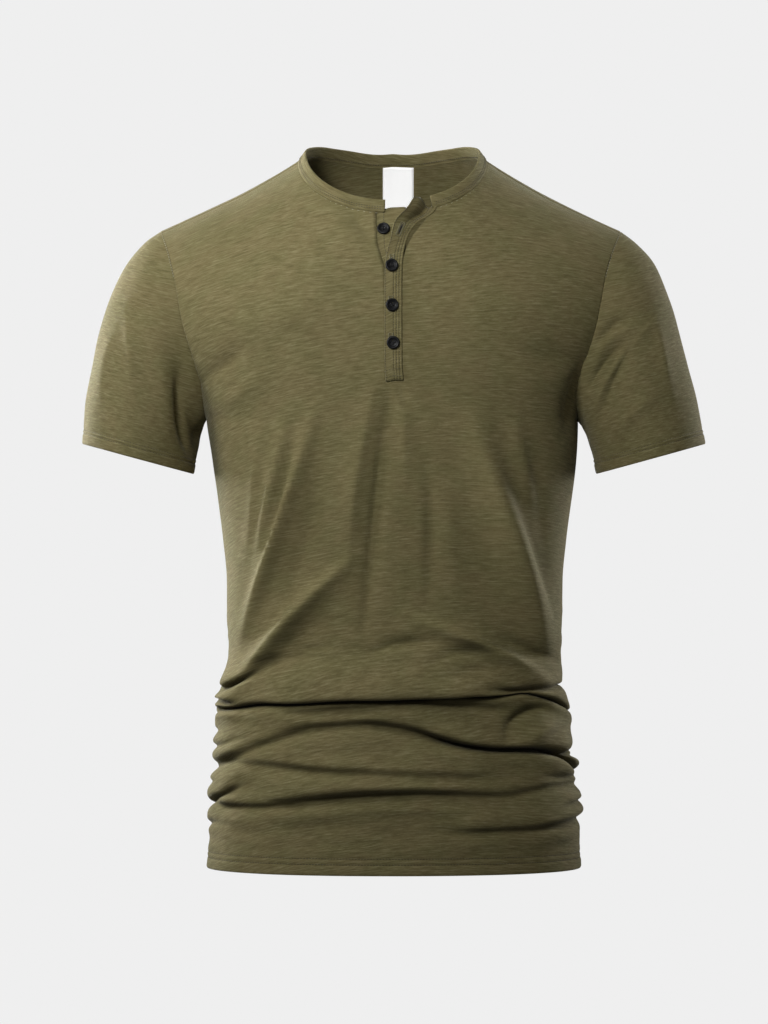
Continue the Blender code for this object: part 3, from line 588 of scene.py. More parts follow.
class Curve:
    """The smooth function through (position, value) pairs, which never overshoots them."""

    def __init__(self, pairs):
        pairs = sorted(pairs)
        self.at = np.array([pair[0] for pair in pairs], float)
        self.value = np.array([pair[1] for pair in pairs], float)
        self.span = np.diff(self.at)
        slope = np.diff(self.value) / self.span
        self.tangent = np.concatenate((slope[:1], np.zeros(len(slope) - 1), slope[-1:]))
        for i, (before, after) in enumerate(zip(slope, slope[1:])):
            if before * after > 0:
                self.tangent[i + 1] = 2 * before * after / (before + after)

    def __call__(self, at):
        at = np.clip(at, self.at[0], self.at[-1])
        i = np.clip(np.searchsorted(self.at, at, side="right") - 1, 0, len(self.span) - 1)
        t = (at - self.at[i]) / self.span[i]
        rise = self.value[i + 1] - self.value[i]
        a = self.tangent[i] * self.span[i] - rise
        b = rise - self.tangent[i + 1] * self.span[i]
        return self.value[i] + t * rise + t * (1 - t) * ((1 - t) * a + t * b)


def columns_of(table, key):
    """Returns one smooth function of the key column for each other column of a table."""
    names = [name for name in table[0]._fields if name != key]
    return {name: Curve([(getattr(row, key), getattr(row, name)) for row in table]) for name in names}


LEVEL = columns_of(LEVELS, "height")
RIDGE = columns_of(SHOULDER_LINE, "across")["height"]
OPENING = columns_of(OPENINGS, "height")
SLEEVE_AT = columns_of(SLEEVE, "share")


def smooth_step(value, low, high):
    t = np.clip((value - low) / (high - low), 0, 1)
    return t * t * (3 - 2 * t)


def bump(distance):
    return np.exp(-(distance**2))


def unit(vectors):
    """Returns the vectors at length 1."""
    return vectors / np.maximum(np.linalg.norm(vectors, axis=-1, keepdims=True), 1e-12)


def run_along(path):
    """Returns how far along a path each of its points is."""
    return np.concatenate(([0], np.cumsum(np.linalg.norm(np.diff(path, axis=0), axis=1))))


def run_up(rows):
    """Returns how far up its column from the first row each point of a grid is."""
    steps = np.linalg.norm(np.diff(rows, axis=0), axis=-1)
    return np.concatenate((np.zeros((1, steps.shape[1])), np.cumsum(steps, axis=0)))


def run_down(rows):
    """Returns how far down its column from the last row each point of a grid is."""
    steps = np.linalg.norm(np.diff(rows, axis=0), axis=-1)
    return np.concatenate((np.cumsum(steps[::-1], axis=0)[::-1], np.zeros((1, steps.shape[1]))))


def read_off(at, along, vectors):
    """Returns the vectors at places along the line on which they stand."""
    return np.stack([np.interp(at, along, vectors[:, k]) for k in range(3)], axis=-1)


def fine_at_start(count, power=1.4):
    """Returns count + 1 shares from 0 to 1, closer together near 0."""
    return (np.arange(count + 1) / count) ** power


def fine_at_ends(count, evenness=0.45):
    """Returns count + 1 shares from 0 to 1, closer together near both."""
    t = np.arange(count + 1) / count
    return t - (1 - evenness) * np.sin(2 * math.pi * t) / (2 * math.pi)


# ---------------------------------------------------------------- the garment form


def drop_at(turn):
    """Returns how far below the shoulder line points lie, from their way round the shoulder."""
    angle = np.abs(turn) / SHOULDER_TURN
    over = SHOULDER_DROP * (1 - np.cos(np.minimum(angle, math.pi / 2)))
    return over + np.maximum(angle - math.pi / 2, 0) * SHOULDER_TURN


def turn_at(drop):
    """The inverse of drop_at."""
    over = SHOULDER_TURN * np.arccos(np.clip(1 - drop / SHOULDER_DROP, 0, 1))
    return over + np.maximum(drop - SHOULDER_DROP, 0)


def armhole_share(height):
    """Returns how deep the form still is at the armhole, as a share of its full depth."""
    up = np.clip((height - ARMPIT_HEIGHT) / (TIP_HEIGHT - ARMPIT_HEIGHT), 0, 1)
    return ARMHOLE_SHARE * (1 - (1 - up) ** SIDE_POWER) ** (1 / SIDE_POWER)


def form_points(side, across, turn):
    """Returns points of the form at places across it and ways down from the shoulder line."""
    across, turn = np.broadcast_arrays(np.asarray(across, float), np.asarray(turn, float))
    side = np.where(turn < 0, -side, side)
    height = RIDGE(np.abs(across)) - drop_at(turn)
    reach = LEVEL["half_width"](height)
    depth = np.where(side == FRONT, LEVEL["front_depth"](height), LEVEL["back_depth"](height))
    edge = armhole_share(height)
    fill = 1 - (np.abs(across) / reach) ** SECTION_POWER * (1 - edge**SECTION_POWER)
    section = np.maximum(fill, 0) ** (1 / SECTION_POWER)
    rounding = np.sin(np.minimum(np.abs(turn) / SHOULDER_TURN, math.pi / 2))
    return np.stack((across, side * depth * section * rounding, height), axis=-1)


def tip_height(drop):
    """Returns the height on the armhole that is a given drop below the shoulder line."""
    height = -0.07
    for _ in range(20):
        height = float(RIDGE(LEVEL["half_width"](height))) - drop
    return height


TIP_HEIGHT = tip_height(0.0)
SEAM_TIP_HEIGHT = tip_height(SEAM_DROP)


def armhole_places(share, side):
    """Returns (across, turn) on the armhole, from the armpit at 0 to the shoulder seam at 1."""
    middle = (TIP_HEIGHT + ARMPIT_HEIGHT) / 2
    half = (TIP_HEIGHT - ARMPIT_HEIGHT) / 2
    seam_angle = math.acos((SEAM_TIP_HEIGHT - middle) / half)
    angle = math.pi - share * (math.pi + side * seam_angle)
    height = middle + half * np.cos(angle)
    across = LEVEL["half_width"](height)
    turn = turn_at(RIDGE(across) - height)
    return np.stack((across, np.where(angle > 0, turn, -turn)), axis=-1)


# ---------------------------------------------------------------- folds in the cloth


def roll_strength(roll, around):
    """Returns how far along a roll each place is, from 0 to 1, and how strong the roll is there."""
    gone = np.mod(around - roll.begin, 360)
    length = roll.end - roll.begin
    share = np.clip(gone / length, 0, 1)
    ends = smooth_step(gone, 0, roll.fade) * (1 - smooth_step(gone, length - roll.fade, length))
    stations = np.linspace(0, 1, len(roll.strengths))
    strength = Curve(list(zip(stations, roll.strengths)))(share)
    return share, np.where((gone > 0) & (gone < length), ends * strength, 0)


def wander(around, seed):
    """Returns smooth noise from -1 to 1 for each place round the body."""
    angle = np.radians(around)
    places = np.stack((np.sin(angle), np.cos(angle)), axis=-1) * WANDER_RADIUS / WANDER_LENGTH
    return np.array([noise.noise(Vector((x, y, seed))) for x, y in places])


def roll_relief(around, height):
    """Returns how far the rolls move the points of each column out and down."""
    out = np.zeros_like(height)
    down = np.zeros_like(height)
    for index, roll in enumerate(ROLLS):
        seed = ROLL_SEEDS * index
        share, strength = roll_strength(roll, around)
        stations = np.linspace(0, 1, len(roll.heights))
        middle = Curve([(s, h * MM) for s, h in zip(stations, roll.heights)])
        crease = middle(share) + WANDER * MM * wander(around, seed)
        strength = strength * (1 + STRENGTH_WANDER * wander(around, seed + STRENGTH_SEED))
        run = math.radians(roll.end - roll.begin) * ROLL_RADIUS
        climb = middle(share + SLOPE_STEP) - middle(share - SLOPE_STEP)
        slope = climb / (2 * SLOPE_STEP * run)
        away = (height - crease) / np.sqrt(1 + slope**2) / (roll.reach * MM)
        over = np.where(away > 1, (away - 1) / roll.above, (away - 1) / LIP_BELOW)
        out += strength * roll.lip * MM * bump(over)
        out += strength * UNDER_ROLL * roll.lip * MM * bump((away + UNDER_PLACE) / UNDER_WIDTH)
        out -= strength * roll.depth * MM * bump(away / TROUGH_WIDTH)
        hang = np.where(away > HANG_ABOVE, HANG_FADE, 1) * (away - HANG_ABOVE)
        down += strength * roll.hang * MM * bump(hang)
    return out, down


def drag_relief(drags, x, z):
    """Returns how far drag lines move points out, from their places across and up."""
    out = np.zeros_like(x)
    for drag in drags:
        start = np.array((drag.x0, drag.z0)) * MM
        run = np.array((drag.x1, drag.z1)) * MM - start
        length = math.hypot(*run)
        along = ((x - start[0]) * run[0] + (z - start[1]) * run[1]) / length**2
        off = ((z - start[1]) * run[0] - (x - start[0]) * run[1]) / length
        inside = np.clip(along, 0, 1)
        off = off - drag.bow * MM * 4 * inside * (1 - inside)
        width = np.where(off > 0, drag.right, drag.left) * MM
        spread = np.clip((along + DRAG_BEYOND) / (1 + 2 * DRAG_BEYOND), 0, 1)
        taper = np.sin(math.pi * spread) ** DRAG_TAPER
        out += drag.rise * MM * taper * np.exp(-np.abs(off / width) ** DRAG_SHARPNESS)
    return out


def uneven(points, across, up, seed):
    """Returns smooth noise from -1 to 1 with the given wavelengths across and up."""
    spots = (points / (across, across, up) + (0, 0, seed)).reshape(-1, 3)
    return np.reshape([noise.noise(Vector(spot)) for spot in spots], points.shape[:-1])


def dip_at(dip, distance, share=1):
    return dip.depth * share * bump(distance / dip.width)


def side_shift(points):
    """Returns how far the form leans sideways at each point, which grows towards its sides."""
    return np.minimum((points[..., 0] / SHIFT_FULL) ** 2, 1) * LEVEL["side_shift"](points[..., 2])


# ---------------------------------------------------------------- the two panels


def split_angles(shares, ends):
    """Returns angles from -90 to 90 degrees, spaced by shares up to the two edges of the slit."""
    left = -math.pi / 2 + shares * (ends[0] + math.pi / 2)
    right = math.pi / 2 - shares[::-1] * (math.pi / 2 - ends[1])
    slit = np.linspace(left[-1], right[0], SLIT_COLUMNS + 1)[1:-1]
    return np.concatenate((left, slit, right))


def column_angles():
    """Returns the angle of each column round the lower section, from the -X side to the +X side."""
    half_width = float(LEVEL["half_width"](ARMPIT_HEIGHT))
    left, right = (
        math.asin((abs(edge) / half_width) ** (SECTION_POWER / 2))
        for edge in (OPENINGS[0].cut_left, OPENINGS[0].cut_right)
    )
    return split_angles(fine_at_ends(SLIT_START), (-left, right))


def front_neck_places(across):
    """Returns (across, turn) on the front neckline, which is half an ellipse."""
    share = np.minimum(np.abs(across) / NECK_HALF_WIDTH, 1)
    top = float(RIDGE(NECK_HALF_WIDTH)) - SEAM_DROP
    height = top + (NECK_FRONT_HEIGHT - top) * np.sqrt(1 - share**2)
    return np.stack((across, turn_at(RIDGE(np.abs(across)) - height)), axis=-1)


def back_neck_places(across):
    """Returns (across, turn) on the back neckline, which starts in front of the shoulder line."""
    share = np.minimum(np.abs(across) / NECK_HALF_WIDTH, 1)
    seam = -float(turn_at(SEAM_DROP))
    middle = float(turn_at(float(RIDGE(0)) - NECK_BACK_HEIGHT))
    return np.stack((across, seam + (middle - seam) * np.sqrt(1 - share**2)), axis=-1)


def top_places(side):
    """Returns (across, turn) along the panel's top edge: shoulder seam, neckline, shoulder seam."""
    tip = float(LEVEL["half_width"](SEAM_TIP_HEIGHT))
    seam = -side * float(turn_at(SEAM_DROP))
    shares = fine_at_start(SHOULDER_COLUMNS)[:-1]
    shoulder = tip + shares * (NECK_HALF_WIDTH - tip)
    shoulder = np.stack((shoulder, np.full_like(shoulder, seam)), axis=-1)
    cut = OPENINGS[-1 if side == FRONT else 0]
    ends = [math.asin(edge / NECK_HALF_WIDTH) for edge in (cut.cut_left, cut.cut_right)]
    steps = np.arange(NECK_COLUMNS + 1) / NECK_COLUMNS
    across = NECK_HALF_WIDTH * np.sin(split_angles(steps, ends))
    neck = front_neck_places(across) if side == FRONT else back_neck_places(across)
    return np.concatenate((shoulder * (-1, 1), neck, shoulder[::-1]))


def cut_to_opening(places, shares):
    """Moves the front panel's rows so that their middle columns follow the edges of the opening."""
    first, last = SLIT_START, SLIT_START + SLIT_COLUMNS
    moved = places.copy()
    for column, edge, step in ((first, "cut_left", -1), (last, "cut_right", 1)):
        across, turn = places[:, column, 0], places[:, column, 1]
        target = OPENING[edge](RIDGE(np.abs(across)) - drop_at(turn))
        for k in range(NECK_COLUMNS):
            near = (1 - k / NECK_COLUMNS) ** 2 * (1 - shares**6)
            moved[:, column + step * k, 0] += near * (target - across)
    for k in range(1, SLIT_COLUMNS):
        share = k / SLIT_COLUMNS
        moved[:, first + k] = (1 - share) * moved[:, first] + share * moved[:, last]
    return moved


class Panel:
    """A front or back panel: its rows of points from the hem up, its flat places and its normals."""

    def __init__(self, side, sizes):
        self.side = side
        self.columns_kept = {}
        angles = column_angles()
        edge_top = HEM_HEIGHT + HEM_EDGE
        edge = HEM_HEIGHT + fine_at_start(HEM_EDGE_ROWS, HEM_EDGE_POWER)[:-1] * HEM_EDGE
        bunch = np.linspace(edge_top, BUNCH_TOP, BUNCH_ROWS)[:-1]
        chest = np.linspace(BUNCH_TOP, ARMPIT_HEIGHT, CHEST_ROWS + 1)
        heights = np.concatenate((edge, bunch, chest))
        around = np.degrees(angles)
        if side == BACK:
            around = np.copysign(180, around) - around
        self.yoke_start = len(heights) - 1
        lower, flow = self.lower_points(angles, heights)
        across = lower[-1, :, 0]
        bottom = np.stack((across, turn_at(RIDGE(np.abs(across)) - ARMPIT_HEIGHT)), axis=-1)
        shares = 1 - fine_at_start(YOKE_ROWS, YOKE_POWER)[::-1][1:]
        places = self.yoke_places(shares, bottom)
        yoke = form_points(side, places[..., 0], places[..., 1])
        self.base = np.concatenate((lower, yoke))
        self.flat = self.flat_places(bottom, places, heights)
        self.finish(around, flow, sizes)

    def lower_points(self, angles, heights):
        share = np.sign(angles) * np.abs(np.sin(angles)) ** (2 / SECTION_POWER)
        depth = LEVEL["front_depth" if self.side == FRONT else "back_depth"](heights)
        x = LEVEL["half_width"](heights)[:, None] * share
        y = self.side * depth[:, None] * np.maximum(np.cos(angles), 0) ** (2 / SECTION_POWER)
        points = np.stack((x, y, np.broadcast_to(heights[:, None], x.shape)), axis=-1)
        return points, unit(points * (1, FRONT_LEAN, 0))

    def yoke_places(self, shares, bottom):
        """Returns (across, turn) above the armpit, blended between the four edges."""
        top = top_places(self.side)
        edge = armhole_places(shares, self.side)
        along = (bottom[:, 0] - bottom[0, 0]) / (bottom[-1, 0] - bottom[0, 0])
        along = (along + (top[:, 0] - top[0, 0]) / (top[-1, 0] - top[0, 0])) / 2
        s, t = along[None, :, None], shares[:, None, None]
        between = (1 - t) * bottom + t * top
        sides = (1 - s) * (edge * (-1, 1))[:, None] + s * edge[:, None]
        ends = [(1 - t) * bottom[i] + t * top[i] for i in (0, -1)]
        corners = (1 - s) * ends[0] + s * ends[1]
        places = between + (2 * s - 1) ** 2 * (sides - corners)
        return cut_to_opening(places, shares) if self.side == FRONT else places

    def flat_places(self, bottom, places, heights):
        """Returns where each point lay on the flat cloth, in metres along and up its courses."""
        steps = np.linalg.norm(np.diff(self.base[..., :2], axis=1), axis=-1)
        along = np.concatenate((np.zeros((len(steps), 1)), np.cumsum(steps, axis=1)), axis=1)
        middle = along.shape[1] // 2
        along = along - along[:, middle : middle + 1]
        up = np.broadcast_to((heights - heights[-1])[:, None], (len(heights), len(bottom)))
        up_yoke = turn_at(RIDGE(np.abs(places[..., 0])) - ARMPIT_HEIGHT) - places[..., 1]
        up = np.concatenate((up, up_yoke))
        return np.stack((along, up), axis=-1)

    def finish(self, around, flow, sizes):
        """Adds the folds, the dips along the seams and the small wrinkles."""
        base, side = self.base, self.side
        x, z = base[..., 0], base[..., 2]
        normals = grid_normals(base) * -side
        level = smooth_step(z, ARMPIT_HEIGHT - ARMPIT_BLEND, ARMPIT_HEIGHT)[..., None]
        flow = np.concatenate((flow, normals[len(flow) :]))
        outward = unit((1 - level) * flow + level * normals)
        out, down = roll_relief(around, np.where(z < BUNCH_TOP + ROLLS_END, z, 0))
        still_at = HEM_HEIGHT + STILL_ABOVE_HEM
        still = smooth_step(z, still_at - FADE_ABOVE_HEM, still_at + FADE_ABOVE_HEM)
        out, down = out * still, down * still
        free = np.where(z < ARMPIT_HEIGHT, smooth_step(self.from_sides(), 0, SEAM_STILL), 1)
        out = out + free * drag_relief(FRONT_DRAGS if side == FRONT else BACK_DRAGS, x, z)
        out = out + drag_relief(SIDE_DRAGS, x, z)
        bunched = 1 - smooth_step(z, BUNCH_TOP - BUNCH_FADE[0], BUNCH_TOP + BUNCH_FADE[1])
        small = uneven(base, *BUNCH_WRINKLES) + 0.5 * uneven(base, *FINE_WRINKLES)
        small = small * bunched * (EDGE_SHARE + (1 - EDGE_SHARE) * still)
        broad = CHEST_SHARE * uneven(base, *CHEST_WRINKLES)
        below_top = np.arange(len(base))[::-1][:, None] / TOP_FADE_ROWS
        out = out + sizes.wrinkles * (small + broad * smooth_step(below_top, 0, 1))
        self.points = base + (out - self.seam_dip(sizes))[..., None] * outward
        self.points[..., 2] -= down
        self.points[..., 0] += side_shift(self.points)
        self.normals = grid_normals(self.points) * -side
        self.plain_normals = normals
        self.outward = outward

    def from_sides(self):
        """Returns how far along its row each point is from the nearer side edge."""
        along = self.flat[..., 0]
        return np.minimum(np.abs(along - along[:, :1]), np.abs(along - along[:, -1:]))

    def painted_crease_shade(self):
        """Returns how far the folds above each point hang over it, from 0 to 1: the share of painted
        shade put into the jersey's colour there.
        """
        painted_shade = np.zeros(self.points.shape[:2])
        for rows_up in range(1, CREASE_ROWS):
            over = self.points[rows_up:] - self.points[:-rows_up]
            stands_out = np.sum(over * self.outward[:-rows_up], axis=-1)
            angle = np.degrees(np.arctan2(stands_out, over[..., 2]))
            near = 1 - smooth_step(np.linalg.norm(over, axis=-1), CREASE_NEAR, CREASE_FAR)
            found = near * smooth_step(angle, CREASE_OPEN, CREASE_SHUT) * (stands_out > 0)
            painted_shade[:-rows_up] = np.maximum(painted_shade[:-rows_up], found)
        above = self.base[..., 2] - BUNCH_TOP
        return painted_shade * (1 - smooth_step(above, *CREASE_FADE))

    def seam_dip(self, sizes):
        """Returns how far the cloth dips at its seams and rounds in at its hem."""
        from_hem = run_up(self.base)
        height = self.base[..., 2]
        sides = 1 - smooth_step(height, ARMPIT_HEIGHT - SIDE_SEAM_FADE, ARMPIT_HEIGHT)
        dip = dip_at(SIDE_SEAM, self.from_sides(), sides) + dip_at(TOP_SEAM, run_down(self.base))
        for row in hem_rows(sizes):
            dip = dip + dip_at(HEM_STITCHES, from_hem - row)
        return dip + dip_at(TURNED_EDGE, from_hem)

    def row_at(self, across, height):
        """Returns the row, or part of one, at which the panel reaches a height."""
        heights = self.column(across)[:, 2]
        start = self.yoke_start - CHEST_ROWS
        i = start + int(np.searchsorted(heights[start:], height)) - 1
        i = min(max(i, 0), len(heights) - 2)
        return i + (height - heights[i]) / (heights[i + 1] - heights[i])

    def column(self, across):
        """Returns the point of each row at a place across the panel."""
        key = round(across, 6)
        if key not in self.columns_kept:
            points = [self.on_row(i, across)[0] for i in range(len(self.points))]
            self.columns_kept[key] = np.array(points)
        return self.columns_kept[key]

    def on_row(self, row, across):
        """Returns the point and normal of one row at a place across it."""
        x = self.points[row, :, 0]
        i = int(np.clip(np.searchsorted(x, across) - 1, 0, len(x) - 2))
        t = (across - x[i]) / (x[i + 1] - x[i])
        point = (1 - t) * self.points[row, i] + t * self.points[row, i + 1]
        return point, (1 - t) * self.normals[row, i] + t * self.normals[row, i + 1]

    def at(self, across, row):
        """Returns the point and normal at a place across the panel and a row, or part of one."""
        first = min(max(int(row), 0), len(self.points) - 2)
        (a, na), (b, nb) = self.on_row(first, across), self.on_row(first + 1, across)
        t = row - first
        return a + t * (b - a), unit(na + t * (nb - na))


def hem_rows(sizes):
    """Returns the heights of the twin rows of stitches above a hem."""
    return sizes.hem_depth - HEM_ROW_IN, sizes.hem_depth - HEM_ROW_IN - sizes.twin_gap


def cuff_rows(sizes):
    """Returns how far the twin rows of stitches lie from a cuff's edge."""
    first = sizes.cuff_depth - CUFF_ROW_IN
    return first, first - CUFF_TWIN_SHARE * sizes.twin_gap


def grid_normals(points):
    """Returns the normals of a grid of points, along rows and columns."""
    return unit(np.cross(np.gradient(points, axis=1), np.gradient(points, axis=0)))


# ---------------------------------------------------------------- sleeves


def armhole_ring(column, kind):
    """Returns the armhole's points, from the shoulder down the front and up the back."""
    both = (panels()[FRONT], panels()[BACK])
    front, back = (getattr(panel, kind)[panel.yoke_start :, column] for panel in both)
    return np.concatenate((front[::-1], back[1:]))


def ring_angles(ring):
    """Returns the angle round the sleeve of each point of the armhole, 0 at the shoulder."""
    height = ring[:, 2]
    middle, half = (height.max() + height.min()) / 2, (height.max() - height.min()) / 2
    angles = np.arccos(np.clip((height - middle) / half, -1, 1))
    behind = (np.arange(len(ring)) > len(ring) // 2) & (ring[:, 1] > 0)
    return np.where(behind, -angles, angles)


def sleeve_section(share, angles, mirror):
    """Returns the plain sleeve's ring at a share of the way from the armhole to the cuff."""
    at = {name: float(curve(share)) for name, curve in SLEEVE_AT.items()}
    outer = np.array((mirror * at["outer_across"], 0, at["outer_height"]))
    inner = np.array((mirror * at["inner_across"], 0, at["inner_height"]))
    along = (outer + inner) / 2 + (outer - inner) / 2 * np.cos(angles)[:, None]
    return along - np.outer(at["half_depth"] * np.sin(angles), (0, 1, 0))


def sleeve_rows(right, sizes):
    """Returns the sleeve's rings of points, their flat places and their normals."""
    column, mirror = (-1, 1) if right else (0, -1)
    ring = armhole_ring(column, "points")
    angles = ring_angles(armhole_ring(column, "base"))
    shares = fine_at_ends(SLEEVE_ROWS, SLEEVE_EVENNESS)
    first = sleeve_section(0, angles, mirror)
    rows = np.array(
        [sleeve_section(s, angles, mirror) + (1 - s) ** 3 * (ring - first) for s in shares]
    )
    rows[0] = ring
    closed = np.concatenate((rows[:, -2:-1], rows, rows[:, 1:2]), axis=1)
    normals = grid_normals(closed)[:, 1:-1]
    if np.sum(normals * (rows - rows.mean(axis=1, keepdims=True))) < 0:
        normals = -normals
    down = run_up(rows)
    from_cuff = down[-1:] - down
    out = sleeve_relief(rows, right)
    grown = smooth_step(down, 0, ARMHOLE_FADE)
    out *= grown * (EDGE_SHARE + (1 - EDGE_SHARE) * smooth_step(from_cuff, *CUFF_FADE))
    out += sizes.wrinkles * SLEEVE_SHARE * uneven(rows, *SLEEVE_WRINKLES) * grown
    out += CUFF_SWELL * (1 - smooth_step(from_cuff, cuff_rows(sizes)[0], sizes.cuff_depth))
    seam = RIGHT_ARMHOLE if right else LEFT_ARMHOLE
    dip = dip_at(seam, down) * (down > 0) + dip_at(TURNED_EDGE, from_cuff)
    for depth in cuff_rows(sizes):
        dip = dip + dip_at(CUFF_STITCHES, from_cuff - depth)
    points = rows + (out - dip)[..., None] * normals
    points[..., 0] += side_shift(points) * (1 - (1 - shares[:, None]) ** 3)
    points[:, -1] = points[:, 0]
    normals[:, -1] = normals[:, 0]
    around = run_along(rows[SLEEVE_GIRTH_ROW])
    around = np.broadcast_to(around - around[len(around) // 2], down.shape)
    slope = SLEEVE_COURSES * mirror
    up = (points[..., 2] - slope * points[..., 0]) / math.hypot(1, slope)
    bowed = up - COURSE_BOW * (around - COURSE_MIDDLE) ** 2
    return points, np.stack((around, bowed), axis=-1), normals


def sleeve_relief(rows, right):
    """Returns how far the drag lines move a sleeve's points out."""
    x, y, z = rows[..., 0], rows[..., 1], rows[..., 2]
    own, other = LEFT_SLEEVE_DRAGS, RIGHT_SLEEVE_DRAGS
    if right:
        own, other = other, own
    in_front = smooth_step(-y, -SLEEVE_SIDE_BLEND, SLEEVE_SIDE_BLEND)
    out = in_front * SLEEVE_RELIEF * drag_relief(own, x, z)
    return out + (1 - in_front) * SLEEVE_BACK_SHARE * drag_relief(other, -x, z)


# ---------------------------------------------------------------- meshes


def cloth_grid(points, flat, closed=False, skip=(), painted_crease_shade=None):
    """Returns a grid on rows of points, with its flat places as a UV map and any painted crease shade
    as a point attribute.
    """
    rows, columns = points.shape[:2]
    bm = bmesh.new()
    bmesh.ops.create_grid(bm, x_segments=columns - 1, y_segments=rows - 1, size=1)
    cloth = bm.loops.layers.uv.new("cloth")
    places = points.reshape(-1, 3).tolist()
    flats = flat.reshape(-1, 2).tolist()
    for vert in bm.verts:
        vert.co = places[vert.index]
    for face in bm.faces:
        for loop in face.loops:
            loop[cloth].uv = flats[loop.vert.index]
    # the painted shade of the creases goes on each point, as the attribute 'crease' that darkens the
    # jersey's colour
    if painted_crease_shade is not None:
        layer = bm.verts.layers.float.new("crease")
        for vert, share in zip(bm.verts, painted_crease_shade.ravel().tolist()):
            vert[layer] = share
    if skip:
        bm.faces.ensure_lookup_table()
        cells = [bm.faces[r * (columns - 1) + c] for r, c in skip]
        bmesh.ops.delete(bm, geom=cells, context="FACES")
    if closed:
        bmesh.ops.remove_doubles(bm, verts=bm.verts, dist=1e-6)
    bm.normal_update()
    return bm


def mesh_of(name, bm):
    """Turns a bmesh into a mesh and frees it."""
    mesh = bpy.data.meshes.new(name)
    bm.to_mesh(mesh)
    bm.free()
    return mesh


def linked(name, data):
    """Makes an object of a mesh, light or camera and puts it in the scene."""
    obj = bpy.data.objects.new(name, data)
    bpy.context.scene.collection.objects.link(obj)
    return obj


def to_object(name, bm, finish):
    """Makes an object of a bmesh, with its material, riding on the shirt."""
    mesh = mesh_of(name, bm)
    mesh.shade_smooth()
    mesh.materials.append(materials()[finish])
    obj = linked(name, mesh)
    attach(obj, "root")
    PIECES[name] = obj
    return obj


def stand_in(node):
    """Lets an object take the place of a plain node, by hiding the node."""
    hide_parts(node)


def sewn(name, bm, finish):
    """Makes an object of a bmesh of stitches."""
    to_object(name, bm, finish)


def face_outward(bm, outward):
    """Turns the whole mesh over if most of its faces look against the outward direction."""
    score = sum(face.normal.dot(outward(face.calc_center_median())) for face in bm.faces)
    if score < 0:
        bmesh.ops.reverse_faces(bm, faces=bm.faces)
    bm.normal_update()


def add_wall(obj, sizes, doubled):
    """Gives a sheet its wall, which is double where the cloth is turned up."""
    group = obj.vertex_groups.new(name="turned_up")
    group.add(doubled, 1.0, "REPLACE")
    wall = obj.modifiers.new("wall", "SOLIDIFY")
    wall.thickness = 2 * sizes.cloth
    wall.offset = -1
    wall.vertex_group = group.name
    wall.thickness_vertex_group = 0.5
    wall.use_rim = True


def tube_object(name, points, flat, finish):
    """Makes an object of rings of points, with both of its ends filled."""
    bm = cloth_grid(points, flat, closed=True)
    bmesh.ops.holes_fill(bm, edges=[edge for edge in bm.edges if edge.is_boundary], sides=0)
    bmesh.ops.recalc_face_normals(bm, faces=bm.faces)
    return to_object(name, bm, finish)


def folded_strip(name, middle, normals, width_ways, half_width, half_wall, finish):
    """Makes a strip of doubled cloth: a flat rounded section carried along a line of places.

    middle, normals and width_ways hold one row for each place along the strip.
    """
    angles = np.linspace(0, 2 * math.pi, BAND_POINTS_AROUND + 1)
    wide = np.sign(np.cos(angles)) * np.abs(np.cos(angles)) ** BAND_END_POWER
    thick = np.sign(np.sin(angles)) * np.abs(np.sin(angles)) ** BAND_FACE_POWER
    points = (
        middle[:, None]
        + (half_width * wide)[:, None] * width_ways[:, None]
        + (half_wall * thick)[:, None] * normals[:, None]
    )
    round_it = run_along(points[len(middle) // 2])
    flat = np.stack(np.broadcast_arrays(run_along(middle)[:, None], round_it), axis=-1)
    return tube_object(name, points, flat, finish)


def facing_front(normals):
    """Returns the normals, turned over if they look to the back."""
    return -normals if np.sum(normals[..., 1]) > 0 else normals


def thread_rows(bm, path, normals, pitch, width, lift=STITCH_LIFT, gap=STITCH_GAP):
    """Lays stitches along a path on the cloth, each a thin rounded bar with a small gap after it."""
    along = run_along(path)
    count = max(int(along[-1] / pitch), 1)
    at = (np.arange(count) + 0.5) * along[-1] / count
    outs = unit(read_off(at, along, normals))
    ways = unit(read_off(at + pitch / 2, along, path) - read_off(at - pitch / 2, along, path))
    for spot, out, way in zip(read_off(at, along, path), outs, ways):
        lay_stitch(bm, Vector(spot), Vector(out), Vector(way), pitch * (1 - gap), width, lift)


def lay_stitch(bm, spot, out, way, length, width, lift):
    """Adds one stitch: a stretched ball lying on the cloth."""
    side = out.cross(way).normalized()
    way = side.cross(out)
    axes = Matrix((way * length / 2, side * width / 2, out * width / 2)).transposed().to_4x4()
    place = Matrix.Translation(spot + out * lift) @ axes
    bmesh.ops.create_icosphere(bm, subdivisions=1, radius=1, matrix=place)


# ---------------------------------------------------------------- materials


class Value:
    """A socket that holds a number, and adds a Math node for each operation on it."""

    def __init__(self, finish, socket):
        self.finish = finish
        self.socket = socket

    def _made(self, operation, *numbers):
        return self.finish.node("ShaderNodeMath", {"operation": operation}, *numbers)

    def __add__(self, other):
        return self._made("ADD", self, other)

    def __sub__(self, other):
        return self._made("SUBTRACT", self, other)

    def __mul__(self, other):
        return self._made("MULTIPLY", self, other)

    def __pow__(self, other):
        return self._made("POWER", self, other)

    def __rsub__(self, other):
        return self._made("SUBTRACT", other, self)

    __radd__ = __add__

    def sine(self):
        return self._made("SINE", self)

    def absolute(self):
        return self._made("ABSOLUTE", self)

    def between(self, low, high):
        """Returns 0 below low and 1 above high, with a soft step between them."""
        settings = {"interpolation_type": "SMOOTHSTEP"}
        return self.finish.node("ShaderNodeMapRange", settings, self, low, high, 0.0, 1.0)


